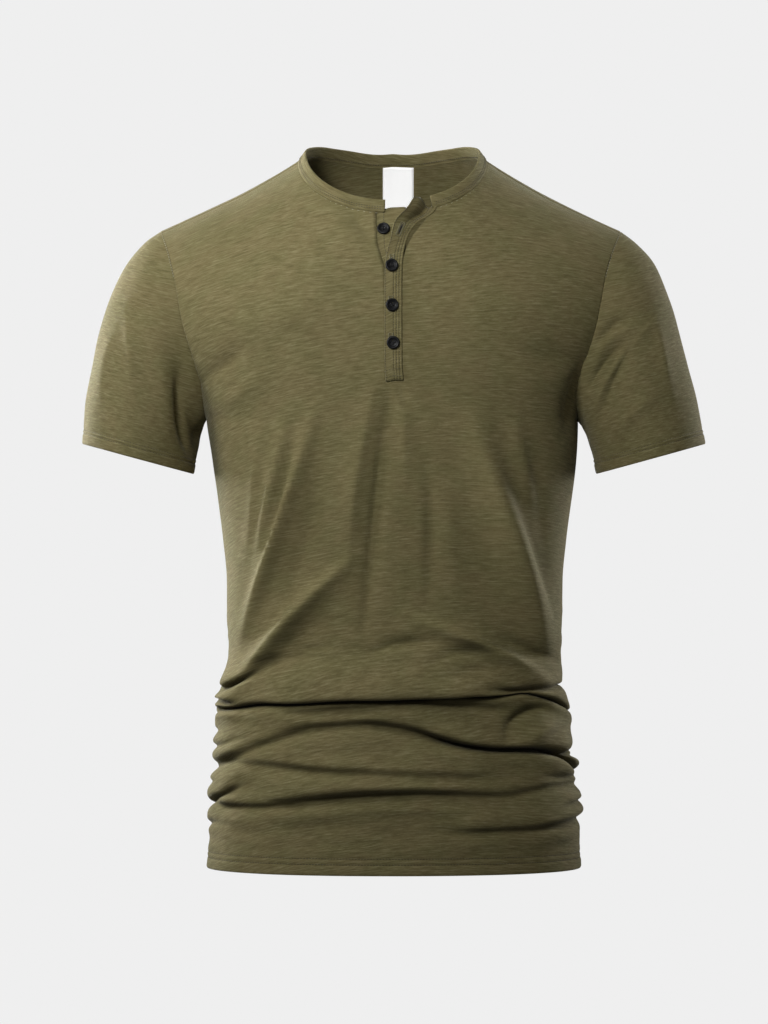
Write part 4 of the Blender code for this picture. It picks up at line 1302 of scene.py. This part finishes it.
class Finish:
    """One material and its nodes."""

    def __init__(self, name):
        self.material = bpy.data.materials.new(name)
        self.material.use_nodes = True
        self.tree = self.material.node_tree
        self.shader = self.tree.nodes["Principled BSDF"]

    def node(self, kind, settings, *values, output=0, **named):
        """Adds a node of a kind with its settings and the values or links of its sockets."""
        made = self.tree.nodes.new(kind)
        for key, setting in settings.items():
            setattr(made, key, setting)
        sockets = dict(enumerate(values))
        sockets.update(named)
        for key, value in sockets.items():
            socket = made.inputs[key]
            if isinstance(value, Value):
                self.tree.links.new(value.socket, socket)
            elif value is not None:
                socket.default_value = value
        return Value(self, made.outputs[output])

    def mix(self, factor, first, second):
        """Mixes two colours."""
        made = self.tree.nodes.new("ShaderNodeMix")
        made.data_type = "RGBA"
        for index, value in ((0, factor), (6, first), (7, second)):
            if isinstance(value, Value):
                self.tree.links.new(value.socket, made.inputs[index])
            else:
                made.inputs[index].default_value = value if index == 0 else (*value, 1.0)[:4]
        return Value(self, made.outputs[2])

    def bump(self, height, distance, strength):
        """Returns the normal of a surface with a height over it."""
        named = {"Strength": strength, "Distance": distance, "Height": height}
        return self.node("ShaderNodeBump", {}, **named)

    def noise(self, vector, scale, detail=2.0, roughness=0.5):
        named = {"Vector": vector, "Scale": scale, "Detail": detail, "Roughness": roughness}
        return self.node("ShaderNodeTexNoise", {"noise_dimensions": "3D"}, **named)

    def place(self):
        """Returns the place on the object."""
        return self.node("ShaderNodeTexCoord", {}, output=3)

    def flat(self):
        """Returns the place on the flat cloth."""
        return self.node("ShaderNodeUVMap", {"uv_map": "cloth"})

    def first_two(self, vector):
        """Returns the first two parts of a vector."""
        parts = self.tree.nodes.new("ShaderNodeSeparateXYZ")
        self.tree.links.new(vector.socket, parts.inputs[0])
        return Value(self, parts.outputs[0]), Value(self, parts.outputs[1])

    def stretched(self, vector, scale):
        """Returns a vector with each of its parts scaled."""
        return self.node("ShaderNodeVectorMath", {"operation": "MULTIPLY"}, vector, scale)

    def set(self, **values):
        """Sets or links the shader's own sockets; a name's underscores stand for spaces."""
        for name, value in values.items():
            socket = self.shader.inputs[name.replace("_", " ")]
            if isinstance(value, Value):
                self.tree.links.new(value.socket, socket)
            else:
                socket.default_value = value


def tinted(colour, *shares):
    """Returns a colour with its parts multiplied, all by one share or each by its own."""
    return [part * share for part, share in zip(colour, shares * (3 // len(shares)))]


def jersey_finish(name, colours):
    """Slub jersey: courses of uneven yarn with light and dark streaks, and small knit loops, darkened
    by painted shade in the deep creases.
    """
    finish = Finish(name)
    flat = finish.flat()
    along, up = finish.first_two(flat)
    off = along - COURSE_MIDDLE
    bowed = up + off * off * COURSE_BOW
    wander = finish.noise(flat, 14.0, 2.0)
    course = finish.node("ShaderNodeCombineXYZ", {}, along, bowed + wander * 0.005, 0.0)
    long_slub, short_slub, broad, cloud, fine = (
        finish.noise(finish.stretched(course, scale), 1.0, detail, roughness)
        for scale, detail, roughness in YARN_NOISES
    )
    streak = long_slub * 0.55 + short_slub * 0.45
    warm = tinted(colours.jersey, 1.05, 1.01, 1.03)
    green = tinted(colours.jersey, 0.96, 0.985, 0.95)
    tint = finish.mix(cloud.between(0.35, 0.65), green, warm)
    ground = finish.mix((1 - streak).between(0.44, 0.72) * 0.68, tint, colours.slub_dark)
    cloth = finish.mix(streak.between(0.46, 0.78) * (0.40 + broad * 0.75), ground, colours.slub_light)
    cloth = finish.mix(fine.between(0.4, 0.8) * 0.14, cloth, FIBRE)
    # painted shade: the colour is darkened towards a fifth of the jersey's where a fold hangs over the
    # cloth, standing in for the shadow in the crease
    painted_shade = finish.node("ShaderNodeAttribute", {"attribute_name": "crease"}, output=2)
    cloth = finish.mix(painted_shade * CREASE_SHADE, cloth, tinted(colours.jersey, 0.2))
    wale = (along * (math.pi / WALE_WIDTH)).sine().absolute()
    rib = ((up + wale * 0.00035) * (2 * math.pi / COURSE_HEIGHT)).sine()
    height = wale * 0.5 + rib * 0.25 + streak * 1.5 + fine * 0.5
    finish.set(
        Base_Color=cloth,
        Roughness=0.88,
        Sheen_Weight=0.18,
        Sheen_Roughness=0.3,
        Sheen_Tint=(0.90, 0.92, 0.78, 1.0),
        Specular_IOR_Level=0.2,
        Normal=finish.bump(height, 0.00030, 0.7),
    )
    return finish.material


def thread_finish(name, colour):
    """Sewing thread: matt, a little uneven along its length."""
    finish = Finish(name)
    twist = finish.noise(finish.place(), 900.0)
    finish.set(
        Base_Color=finish.mix(twist.between(0.35, 0.65), tinted(colour, 0.62), colour),
        Roughness=0.7,
        Sheen_Weight=0.2,
        Normal=finish.bump(twist, 0.0001, 0.5),
    )
    return finish.material


def button_finish(name, colour):
    """Glossy moulded plastic with faint turning marks."""
    finish = Finish(name)
    marks = finish.noise(finish.place(), 700.0, 3.0)
    finish.set(
        Base_Color=finish.mix(marks.between(0.4, 0.8), colour, tinted(colour, 1.7)),
        Roughness=marks * 0.14 + 0.34,
        Specular_IOR_Level=0.22,
        Normal=finish.bump(marks, 0.00005, 0.4),
    )
    return finish.material


def label_finish(name, colour):
    """A plain woven tape: fine weft ribs and a slight shade between warp and weft, with a faint glow
    of painted light that keeps it bright in the shade inside the neck.
    """
    finish = Finish(name)
    flat = finish.flat()
    along, up = finish.first_two(flat)
    turns = 2 * math.pi / TAPE_RIB
    weave = (along * turns).sine() * (up * turns).sine()
    cloud = finish.noise(flat, 160.0)
    finish.set(
        Base_Color=finish.mix(weave * 0.25 + cloud * 0.5, colour, tinted(colour, 0.9)),
        Roughness=0.6,
        # painted light: the label glows a little so it stays bright in the shade inside the back neck
        Emission_Color=(1.0, 1.0, 1.0, 1.0),
        Emission_Strength=0.55,
        Normal=finish.bump(weave, 0.00006, 0.6),
    )
    return finish.material


def floor_finish(name, colour):
    """Pale matt paper that fades into the backdrop at its rim."""
    finish = Finish(name)
    place = finish.place()
    grain = finish.noise(place, 40.0, 3.0)
    x, y = finish.first_two(place)
    away = (x * x + y * y) ** 0.5
    finish.set(
        Base_Color=finish.mix(grain, tinted(colour, 0.97), colour),
        Roughness=0.9,
        Alpha=(1 - away.between(*FLOOR_FADE)) * 0.35,
    )
    return finish.material


# What the operators make, for the ones that follow: materials, objects by name, and the shapes of
# the panels by side and of the sleeves, neckband and plackets by name.
MATERIALS = {}
PIECES = {}
MADE = {}


def materials():
    """Makes each material once and returns them by name."""
    if not MATERIALS:
        colours = bpy.context.scene.henley_colours
        MATERIALS["jersey"] = jersey_finish("jersey", colours)
        for name in ("thread", "edge_thread", "hole_thread"):
            MATERIALS[name] = thread_finish(name, getattr(colours, name))
        MATERIALS["button"] = button_finish("button", colours.button)
        # the buttons' black thread, also used for the painted shadow in the buttonhole slits
        MATERIALS["button_thread"] = thread_finish("button_thread", colours.button)
        MATERIALS["label"] = label_finish("label", colours.label)
    return MATERIALS


def panels():
    """Works the two panels' shapes out once and returns the shapes made so far."""
    if FRONT not in MADE:
        sizes = bpy.context.scene.henley_sizes
        MADE[FRONT], MADE[BACK] = Panel(FRONT, sizes), Panel(BACK, sizes)
    return MADE


# ---------------------------------------------------------------- operators


class HENLEY_OT_panels(bpy.types.Operator):
    """Front and back panels with their rolls, drag lines and turned-up hem"""

    bl_idname = "henley.panels"
    bl_label = "Panels"

    def execute(self, context):
        sizes = context.scene.henley_sizes
        for side, name in ((FRONT, "front"), (BACK, "back")):
            panel = panels()[side]
            skip = []
            if side == FRONT:
                foot = int(panel.row_at(0.0, PLACKET_FOOT + SLIT_FOOT))
                open_rows = range(foot, len(panel.points) - 1)
                skip = [(row, SLIT_START + c) for row in open_rows for c in range(SLIT_COLUMNS)]
            bm = cloth_grid(panel.points, panel.flat, skip=skip, painted_crease_shade=panel.painted_crease_shade())
            face_outward(bm, lambda point: Vector((point.x, point.y, 0)))
            doubled = [v.index for v in bm.verts if v.co.z < HEM_HEIGHT + sizes.hem_depth]
            obj = to_object(f"{name}_panel", bm, "jersey")
            add_wall(obj, sizes, doubled)
            stand_in(name)
        return {"FINISHED"}


class HENLEY_OT_sleeves(bpy.types.Operator):
    """Set-in short sleeves with soft folds and turned-up cuffs"""

    bl_idname = "henley.sleeves"
    bl_label = "Sleeves"

    def execute(self, context):
        sizes = context.scene.henley_sizes
        for right, name in ((False, "sleeve_left"), (True, "sleeve_right")):
            points, flat, normals = sleeve_rows(right, sizes)
            MADE[name] = (points, normals)
            bm = cloth_grid(points, flat, closed=True)
            middle = Vector(points.mean(axis=(0, 1)))
            face_outward(bm, lambda point, middle=middle: point - middle)
            cuff = Vector(points[-1].mean(axis=0))
            way = (cuff - Vector(points[-CUFF_AXIS_ROWS].mean(axis=0))).normalized()
            doubled = [v.index for v in bm.verts if (v.co - cuff).dot(way) > -sizes.cuff_depth]
            obj = to_object(f"{name}_piece", bm, "jersey")
            add_wall(obj, sizes, doubled)
            stand_in(name)
        return {"FINISHED"}


def neck_path():
    """Returns the neckline's points and outward normals, from the under strip round the back."""
    front, back = panels()[FRONT], panels()[BACK]
    first, last = SHOULDER_COLUMNS, front.points.shape[1] - SHOULDER_COLUMNS

    def round_neck(front_rows, back_rows):
        left = front_rows[-1, first : SLIT_START + 1][::-1]
        right = front_rows[-1, SLIT_START + SLIT_COLUMNS : last][::-1]
        return np.concatenate((left, back_rows[-1, first + 1 : last - 1], right))

    points = round_neck(front.points, back.points)
    normals = round_neck(front.plain_normals, back.plain_normals)
    start = points[:1] + (BAND_LEFT_END - OPENINGS[-1].cut_left) * np.array(BAND_END_WAY)
    return np.concatenate((start, points)), np.concatenate((normals[:1], normals))


def smoothed(rows, times):
    """Returns a row of vectors with each one drawn towards its neighbours."""
    rows = rows.copy()
    for _ in range(times):
        rows[1:-1] = (rows[:-2] + 2 * rows[1:-1] + rows[2:]) / 4
    return rows


def band_frame():
    """Returns places along the neckband's middle, the way across it and the way out of it."""
    points, normals = neck_path()
    along = run_along(points)
    at = np.linspace(0, along[-1], int(along[-1] / BAND_STEP) + 1)
    points, normals = read_off(at, along, points), read_off(at, along, normals)
    for_path, for_normals, for_ways = BAND_SMOOTHING
    points = smoothed(points, for_path)
    normals = unit(smoothed(normals, for_normals))
    along = unit(np.gradient(points, axis=0))
    inward = unit(np.cross(normals, along))
    if np.sum(inward * points * (1, 1, 0)) > 0:
        inward = -inward
    rise = unit(inward + BAND_LIFT * np.array((0, 0, 1)))
    out = unit(np.cross(along, rise))
    if np.sum(out * normals) < 0:
        out = -out
    return points, smoothed(rise, for_ways), smoothed(out, for_ways)


class HENLEY_OT_neckband(bpy.types.Operator):
    """The neckband, folded double and sewn round the neck edge"""

    bl_idname = "henley.neckband"
    bl_label = "Neckband"

    def execute(self, context):
        points, rise, out = band_frame()
        MADE["band"] = (points, rise, out)
        half = BAND_WIDTH / 2 + BAND_SWELL
        middle = points + (half - BAND_OVERLAP) * rise + BAND_OUT * out
        obj = folded_strip(
            "neckband_piece", middle, unit(out), unit(rise), half, BAND_HALF_WALL, "jersey"
        )
        stand_in("neckband")
        return {"FINISHED"}


def strip_rows(panel, heights, left, right, out, columns, lag=lambda height, share: 0):
    """Returns rows of points on a panel's own face, moved out from it and lagging behind it."""
    points = []
    for height in heights:
        row = panel.row_at(0.0, height)
        for k in range(columns + 1):
            share = k / columns
            across = float(left(height) + share * (right(height) - left(height)))
            point, normal = panel.at(across, row - lag(height, share))
            points.append(point + out(height, share) * normal)
    return np.reshape(points, (len(heights), columns + 1, 3))


def wrapped_strip(name, points, wall, finish):
    """Makes a doubled strip from rows of points on its outer face: the wall wraps round its edges."""
    normals = facing_front(grid_normals(points))
    rows, columns = points.shape[:2]
    shares = np.linspace(0, 1, columns)
    rounding = np.sqrt(np.clip(1 - np.abs(2 * shares - 1) ** STRIP_EDGE_POWER, 0, 1))
    outer = points - normals * (wall / 2 * (1 - rounding))[None, :, None]
    inner = points - normals * (wall / 2 * (1 + rounding))[None, :, None]
    loop = np.concatenate((outer, inner[:, ::-1][:, 1:-1], outer[:, :1]), axis=1)
    up = run_along(points[:, columns // 2])
    flat = np.stack(np.broadcast_arrays(run_along(loop[rows // 2]), up[:, None]), axis=-1)
    return tube_object(name, loop, flat, finish)


def upper_strip():
    """Returns the upper strip's outer face, turned out at its top."""
    heights = np.linspace(PLACKET_FOOT, PLACKET_TOP, STRIP_ROWS)

    def out(height, share):
        lift = float(OPENING["lift"](height))
        hollow = HOLLOW_DEPTH * float(smooth_step(height, *HOLLOW_HEIGHTS))
        dip = hollow * float(bump((share - HOLLOW_MIDDLE) / HOLLOW_WIDTH))
        groove = sum(float(bump((share - line) / GROOVE_WIDTH)) for line in STRIP_LINES)
        return UPPER_LIFT + lift * (CURL * (1 - share) ** CURL_POWER - dip) - GROOVE_DEPTH * groove

    def lag(height, share):
        left, middle, right = LAGS
        back = left * (1 - share) ** 2 + middle * share * (1 - share) + right * share**2
        return back * float(smooth_step(height, LAG_START, PLACKET_TOP))

    edges = (OPENING["free_edge"], OPENING["seam_edge"])
    return strip_rows(panels()[FRONT], heights, *edges, out, STRIP_COLUMNS, lag)


def level_strip(side, heights, left, right, lift, columns):
    """Returns a strip's outer face, at one distance from a panel."""
    return strip_rows(panels()[side], heights, left, lambda _: right, lambda *_: lift, columns)


def under_strip():
    """Returns the under strip's outer face, just behind the edges of the opening."""
    heights = np.linspace(PLACKET_FOOT, UNDER_TOP, UNDER_ROWS)

    def left(height):
        return OPENING["cut_left"](height) - UNDER_TUCK

    return level_strip(FRONT, heights, left, UNDER_RIGHT, UNDER_LIFT, UNDER_COLUMNS)


class HENLEY_OT_plackets(bpy.types.Operator):
    """The two placket strips, the upper one turned out above its first done-up button"""

    bl_idname = "henley.plackets"
    bl_label = "Plackets"

    def execute(self, context):
        for name, rows in (("placket_upper", upper_strip()), ("placket_under", under_strip())):
            MADE[name] = rows
            obj = wrapped_strip(f"{name}_piece", rows, STRIP_WALL, "jersey")
            stand_in(name)
        return {"FINISHED"}


class HENLEY_OT_label(bpy.types.Operator):
    """The bare woven label inside the back neck"""

    bl_idname = "henley.label"
    bl_label = "Label"

    def execute(self, context):
        half = LABEL_WIDTH / 2
        heights = np.linspace(LABEL_TOP - LABEL_LENGTH, LABEL_TOP, LABEL_ROWS)
        left, right = LABEL_MIDDLE - half, LABEL_MIDDLE + half
        rows = level_strip(BACK, heights, lambda _: left, right, LABEL_LIFT, LABEL_COLUMNS)
        obj = wrapped_strip("label_piece", rows, LABEL_WALL, "label")
        stand_in("label")
        return {"FINISHED"}


def button_place(button):
    """Returns where a button sits and the way it faces."""
    rows = MADE["placket_upper" if button.done_up else "placket_under"]
    best = np.argmin(np.sum((rows[..., ::2] - (button.across, button.height)) ** 2, axis=-1))
    i, j = np.unravel_index(best, rows.shape[:2])
    near = rows[max(i - 3, 0) : i + 4, max(j - 4, 0) : j + 5]
    out = -np.sign(near[..., 1].mean()) * grid_normals(near)
    out = unit(out.reshape(-1, 3).mean(axis=0))
    if out[1] > 0:
        out = -out
    return Vector((button.across, rows[i, j, 1], button.height)), Vector(out)


def turned_button(sizes):
    """Returns a bmesh of one button with a raised rim and a dish, standing on the origin."""
    bm = bmesh.new()
    verts = [
        bm.verts.new((out * sizes.button_radius, 0, up * sizes.button_height))
        for out, up in BUTTON_PROFILE
    ]
    edges = [bm.edges.new(pair) for pair in zip(verts, verts[1:])]
    bmesh.ops.spin(
        bm,
        geom=verts + edges,
        cent=(0, 0, 0),
        axis=(0, 0, 1),
        angle=2 * math.pi,
        steps=BUTTON_SIDES,
        use_merge=True,
    )
    bmesh.ops.remove_doubles(bm, verts=bm.verts, dist=1e-7)
    bmesh.ops.recalc_face_normals(bm, faces=bm.faces)
    return bm


def drill(obj, sizes):
    """Cuts the four thread holes through a button."""
    bm = bmesh.new()
    for x, y in ((1, 1), (1, -1), (-1, 1), (-1, -1)):
        middle = (x * HOLE_OFF, y * HOLE_OFF, sizes.button_height / 2)
        bmesh.ops.create_cone(
            bm,
            cap_ends=True,
            segments=HOLE_SIDES,
            radius1=HOLE_RADIUS,
            radius2=HOLE_RADIUS,
            depth=3 * sizes.button_height,
            matrix=Matrix.Translation(middle),
        )
    tool = linked("drills", mesh_of("drills", bm))
    cut = obj.modifiers.new("holes", "BOOLEAN")
    cut.operation = "DIFFERENCE"
    cut.solver = "EXACT"
    cut.object = tool
    bpy.context.view_layer.update()
    graph = bpy.context.evaluated_depsgraph_get()
    done = bpy.data.meshes.new_from_object(obj.evaluated_get(graph))
    obj.modifiers.clear()
    obj.data = done
    bpy.data.objects.remove(tool, do_unlink=True)


class HENLEY_OT_buttons(bpy.types.Operator):
    """Four small dished buttons, the top one undone, with their thread"""

    bl_idname = "henley.buttons"
    bl_label = "Buttons"

    def execute(self, context):
        sizes = context.scene.henley_sizes
        for index, button in enumerate(BUTTONS):
            name = f"button_{index + 1}"
            spot, out = button_place(button)
            turn = Vector((0, 0, 1)).rotation_difference(out).to_matrix().to_4x4()
            spin = Matrix.Rotation(BUTTON_TURN * index, 4, "Z")
            place = Matrix.Translation(spot + BUTTON_LIFT * out) @ turn @ spin
            obj = to_object(f"{name}_piece", turned_button(sizes), "button")
            drill(obj, sizes)
            obj.data.transform(place)
            stand_in(name)
            bm = bmesh.new()
            for x in (-HOLE_OFF, HOLE_OFF):
                for shift in (-STRAND_OFF, STRAND_OFF):
                    at = Vector((x + shift, 0, STRAND_HEIGHT))
                    up, way = Vector((0, 0, 1)), Vector((0, 1, 0))
                    lay_stitch(bm, at, up, way, STRAND_LENGTH, STRAND_WIDTH, 0.0)
            thread = to_object(f"{name}_thread", bm, "button_thread")
            thread.data.transform(place)
        return {"FINISHED"}


def panel_line(panel, row_height):
    """Returns the points and normals of a panel's row at a height above the hem."""
    heights = panel.base[:, 0, 2]
    row = int(np.argmin(np.abs(heights - HEM_HEIGHT - row_height)))
    return panel.points[row], panel.normals[row]


class HENLEY_OT_stitching(bpy.types.Operator):
    """Twin stitches at the hem and cuffs, rows on the neckband and placket, and armhole thread"""

    bl_idname = "henley.stitching"
    bl_label = "Stitching"

    def execute(self, context):
        sizes = context.scene.henley_sizes
        plain = (sizes.stitch, sizes.thread)
        for side, name in ((FRONT, "front"), (BACK, "back")):
            bm = bmesh.new()
            for height in hem_rows(sizes):
                thread_rows(bm, *panel_line(panels()[side], height), *plain)
            sewn(f"{name}_hem_stitches", bm, "thread")
        for name in ("sleeve_left", "sleeve_right"):
            points, normals = MADE[name]
            bm = bmesh.new()
            for depth in cuff_rows(sizes):
                thread_rows(bm, *line_at(points, normals, run_down(points), depth), *plain)
            sewn(f"{name}_stitches", bm, "thread")
            bm = bmesh.new()
            top = slice(0, int(len(points[0]) // 2 * ARMHOLE_THREAD_SHARE))
            thread_rows(bm, points[1, top], normals[1, top], *ARMHOLE_THREAD)
            sewn(f"{name}_armhole_thread", bm, "edge_thread")
        self.neck_stitches(sizes.thread)
        self.placket_stitches(sizes.thread)
        return {"FINISHED"}

    def neck_stitches(self, width):
        points, rise, out = MADE["band"]
        bm = bmesh.new()
        for height, off in BAND_STITCH_ROWS:
            path = points + height * rise + off * out
            thread_rows(bm, path[2:-2], math.copysign(1, off) * out[2:-2], FINE_PITCH, width)
        sewn("neckband_stitches", bm, "thread")
        bm = bmesh.new()
        up, off = BAND_EDGE_PLACE
        path = points + up * rise + off * out
        thread_rows(bm, path[3:-3], out[3:-3], *BAND_EDGE_THREAD)
        sewn("neckband_edge_thread", bm, "edge_thread")

    def placket_stitches(self, width):
        rows = MADE["placket_upper"]
        normals = facing_front(grid_normals(rows))
        last = rows.shape[1] - 1
        bm = bmesh.new()
        for column in (EDGE_STITCH_COLUMN, *(round(line * last) for line in STRIP_LINES)):
            thread_rows(bm, rows[:, column], normals[:, column], FINE_PITCH, width)
        for row in FOOT_STITCH_ROWS:
            thread_rows(bm, rows[row, 1:-1], normals[row, 1:-1], FINE_PITCH, width)
        sewn("placket_stitches", bm, "thread")
        under = MADE["placket_under"]
        line = (slice(UNDER_STITCH_START, None), UNDER_STITCH_COLUMN)
        bm = bmesh.new()
        thread_rows(bm, under[line], facing_front(grid_normals(under))[line], FINE_PITCH, width)
        sewn("under_placket_stitches", bm, "thread")
        bm = bmesh.new()
        # the slits are black bars of painted shadow, not openings in the strip
        slits = bmesh.new()
        self.buttonhole(bm, slits, rows, OPEN_HOLE_HEIGHT, OPEN_HOLE_SHARE)
        for button in BUTTONS:
            if button.done_up:
                self.buttonhole(bm, slits, rows, button.height, HOLE_SHARE)
        sewn("buttonhole_stitches", bm, "hole_thread")
        sewn("buttonhole_slits", slits, "button_thread")

    def buttonhole(self, bm, slits, rows, height, share):
        """Sews a vertical buttonhole: close stitches round a slit, which is a black bar of painted
        shadow laid on the uncut strip.
        """
        i = int(np.argmin(np.abs(rows[:, 0, 2] - height)))
        j = round(share * (rows.shape[1] - 1))
        spot = Vector(rows[i, j])
        way = Vector(rows[min(i + 4, len(rows) - 1), j] - rows[i - 4, j]).normalized()
        side = Vector(rows[i, j + 2] - rows[i, j - 2]).normalized()
        out = way.cross(side).normalized()
        if out.y > 0:
            out = -out
        side = out.cross(way)
        for step in range(HOLE_STITCHES + 1):
            along = (2 * step / HOLE_STITCHES - 1) * HOLE_HALF
            for reach in (-HOLE_REACH, HOLE_REACH):
                at = spot + way * along + side * reach
                lay_stitch(bm, at, out, side, *HOLE_SIDE_STITCH)
        for end in (-1, 1):
            at = spot + way * end * (HOLE_HALF + HOLE_END_OFF)
            lay_stitch(bm, at, out, side, *HOLE_END_STITCH)
        # painted shadow: a black bar on the cloth stands in for the dark gap of the slit
        lay_stitch(slits, spot, out, way, 2 * HOLE_HALF * SLIT_SHADOW_SHARE, SLIT_SHADOW_WIDTH, SLIT_SHADOW_LIFT)


def line_at(points, normals, distance, depth):
    """Returns the line on a sleeve where each column is a given distance from the cuff."""
    columns = range(points.shape[1])
    return [
        np.array([read_off(depth, distance[::-1, c], rows[::-1, c]) for c in columns])
        for rows in (points, normals)
    ]


class HENLEY_OT_declare_cloth(bpy.types.Operator):
    """Lists each sheet of cloth with its flat size and the pieces sewn to it; nothing is stored."""

    bl_idname = "henley.declare_cloth"
    bl_label = "Flat sizes"

    def execute(self, context):
        def declare(name, flat, sewn_to_it=(), **said):
            if sewn_to_it:
                said["with_pieces"] = [PIECES[key] for key in sewn_to_it]

        panel_names = ["front_panel", "back_panel"]
        declare("front_panel", (0.51, 0.80), ["front_hem_stitches"],
                area=0.35, held="hung", rests_on=["back_panel"])
        declare("back_panel", (0.485, 0.79), ["back_hem_stitches"], area=0.34, held="hung")
        for name in ("sleeve_left", "sleeve_right"):
            declare(f"{name}_piece", (0.44, 0.234), [f"{name}_stitches", f"{name}_armhole_thread"],
                    area=0.061, held="hung", rests_on=panel_names)
        declare("neckband_piece", (0.52, 0.0135), ["neckband_stitches", "neckband_edge_thread"],
                held="folded", rests_on=["back_panel"])
        declare("placket_upper_piece", (0.0186, 0.192),
                ["placket_stitches", "buttonhole_stitches", "buttonhole_slits"],
                held="folded", rests_on=["front_panel"])
        declare("placket_under_piece", (0.0252, 0.175), ["under_placket_stitches"],
                held="folded", rests_on=["front_panel"])
        declare("label_piece", (0.0315, 0.046), held="hung", rests_on=["back_panel"])
        return {"FINISHED"}


def aimed(location, target):
    """Returns the matrix of a light or camera at a place, looking at another."""
    way = Vector(target) - Vector(location)
    return Matrix.Translation(location) @ way.to_track_quat("-Z", "Y").to_matrix().to_4x4()


Lamp = namedtuple("Lamp", "place target size share power spread")
LAMPS = {
    "key": Lamp((-1.47, -0.36, 0.50), (-0.05, 0, -0.1), (0.6, 0.9), 1, "key", math.pi),
    "front": Lamp((-0.6, -1.7, 0.5), (0, -0.05, -0.02), (0.5, 0.4), 1, "fill", 1.1),
    "top": Lamp((0.0, -0.15, 1.4), (0.0, 0.0, 0.0), (1.2, 0.6), 1, "top", 1.6),
    "rim_left": Lamp((-1.15, 0.75, 0.05), (-0.28, 0, -0.15), (0.3, 0.8), 2.3, "rim", 0.9),
    "rim_right": Lamp((1.15, 0.70, 0.10), (0.28, 0, -0.12), (0.3, 1.1), 1, "rim", 0.7),
}
CAMERA_PLACE = (-0.009, -4.0, -0.352)
CAMERA_HALF_VIEW = 0.512 / 4.0
SENSOR = 36
FLOOR_RADIUS = 2.2
FLOOR_FADE = (0.5, 2.0)


class HENLEY_OT_stage(bpy.types.Operator):
    """Floor, backdrop light, studio lights and camera"""

    bl_idname = "henley.stage"
    bl_label = "Stage"

    def execute(self, context):
        scene = context.scene
        studio = scene.henley_studio
        self.floor(studio)
        self.world(scene, studio)
        for name, lamp in LAMPS.items():
            data = bpy.data.lights.new(name, "AREA")
            data.shape = "RECTANGLE"
            data.size, data.size_y = lamp.size
            data.energy = lamp.share * getattr(studio, lamp.power)
            data.spread = lamp.spread
            light = linked(name, data)
            light.matrix_world = aimed(lamp.place, lamp.target)
            light.visible_camera = False
        data = bpy.data.cameras.new("camera")
        data.sensor_width = SENSOR
        data.lens = SENSOR / 2 / CAMERA_HALF_VIEW
        data.clip_end = 100
        camera = linked("camera", data)
        camera.location = CAMERA_PLACE
        camera.rotation_euler = (math.pi / 2, 0, 0)
        scene.camera = camera
        scene.view_settings.view_transform = "Standard"
        return {"FINISHED"}

    def floor(self, studio):
        bm = bmesh.new()
        level = Matrix.Translation((0, 0, studio.floor_height))
        bmesh.ops.create_circle(bm, cap_ends=True, segments=96, radius=FLOOR_RADIUS, matrix=level)
        mesh = mesh_of("floor", bm)
        mesh.materials.append(floor_finish("floor", studio.backdrop))
        linked("floor", mesh)

    def world(self, scene, studio):
        world = bpy.data.worlds.new("studio")
        world.use_nodes = True
        scene.world = world
        tree = world.node_tree
        background = tree.nodes["Background"]
        background.inputs["Color"].default_value = (*studio.backdrop, 1)
        rays = tree.nodes.new("ShaderNodeLightPath")
        strength = tree.nodes.new("ShaderNodeMapRange")
        strength.inputs["To Min"].default_value = studio.ambient
        strength.inputs["To Max"].default_value = 1.0
        tree.links.new(rays.outputs["Is Camera Ray"], strength.inputs["Value"])
        tree.links.new(strength.outputs[0], background.inputs["Strength"])


class HENLEY_PT_panel(bpy.types.Panel):
    """Lists the shirt's pieces, sizes, colours and studio"""

    bl_idname = "HENLEY_PT_panel"
    bl_label = "Henley shirt"
    bl_space_type = "VIEW_3D"
    bl_region_type = "UI"
    bl_category = "Henley"

    def draw(self, context):
        for step in STEPS:
            self.layout.operator(step.bl_idname)
        for group in GROUPS:
            owner = getattr(context.scene, group)
            for key in owner.__annotations__:
                self.layout.prop(owner, key)


STEPS = (
    HENLEY_OT_panels,
    HENLEY_OT_sleeves,
    HENLEY_OT_neckband,
    HENLEY_OT_plackets,
    HENLEY_OT_label,
    HENLEY_OT_buttons,
    HENLEY_OT_stitching,
    HENLEY_OT_declare_cloth,
    HENLEY_OT_stage,
)
GROUPS = {"henley_sizes": HenleySizes, "henley_colours": HenleyColours, "henley_studio": HenleyStudio}


def register():
    for made in (*GROUPS.values(), *STEPS, HENLEY_PT_panel):
        bpy.utils.register_class(made)
    for name, group in GROUPS.items():
        setattr(bpy.types.Scene, name, bpy.props.PointerProperty(type=group))


def unregister():
    for name in GROUPS:
        delattr(bpy.types.Scene, name)
    for made in reversed((*GROUPS.values(), *STEPS, HENLEY_PT_panel)):
        bpy.utils.unregister_class(made)


def main():
    for name in ("Cube", "Light", "Camera"):
        if name in bpy.data.objects:
            bpy.data.objects.remove(bpy.data.objects[name])
    register()
    for step in STEPS:
        group, name = step.bl_idname.split(".")
        getattr(getattr(bpy.ops, group), name)()


if __name__ == "__main__":
    main()
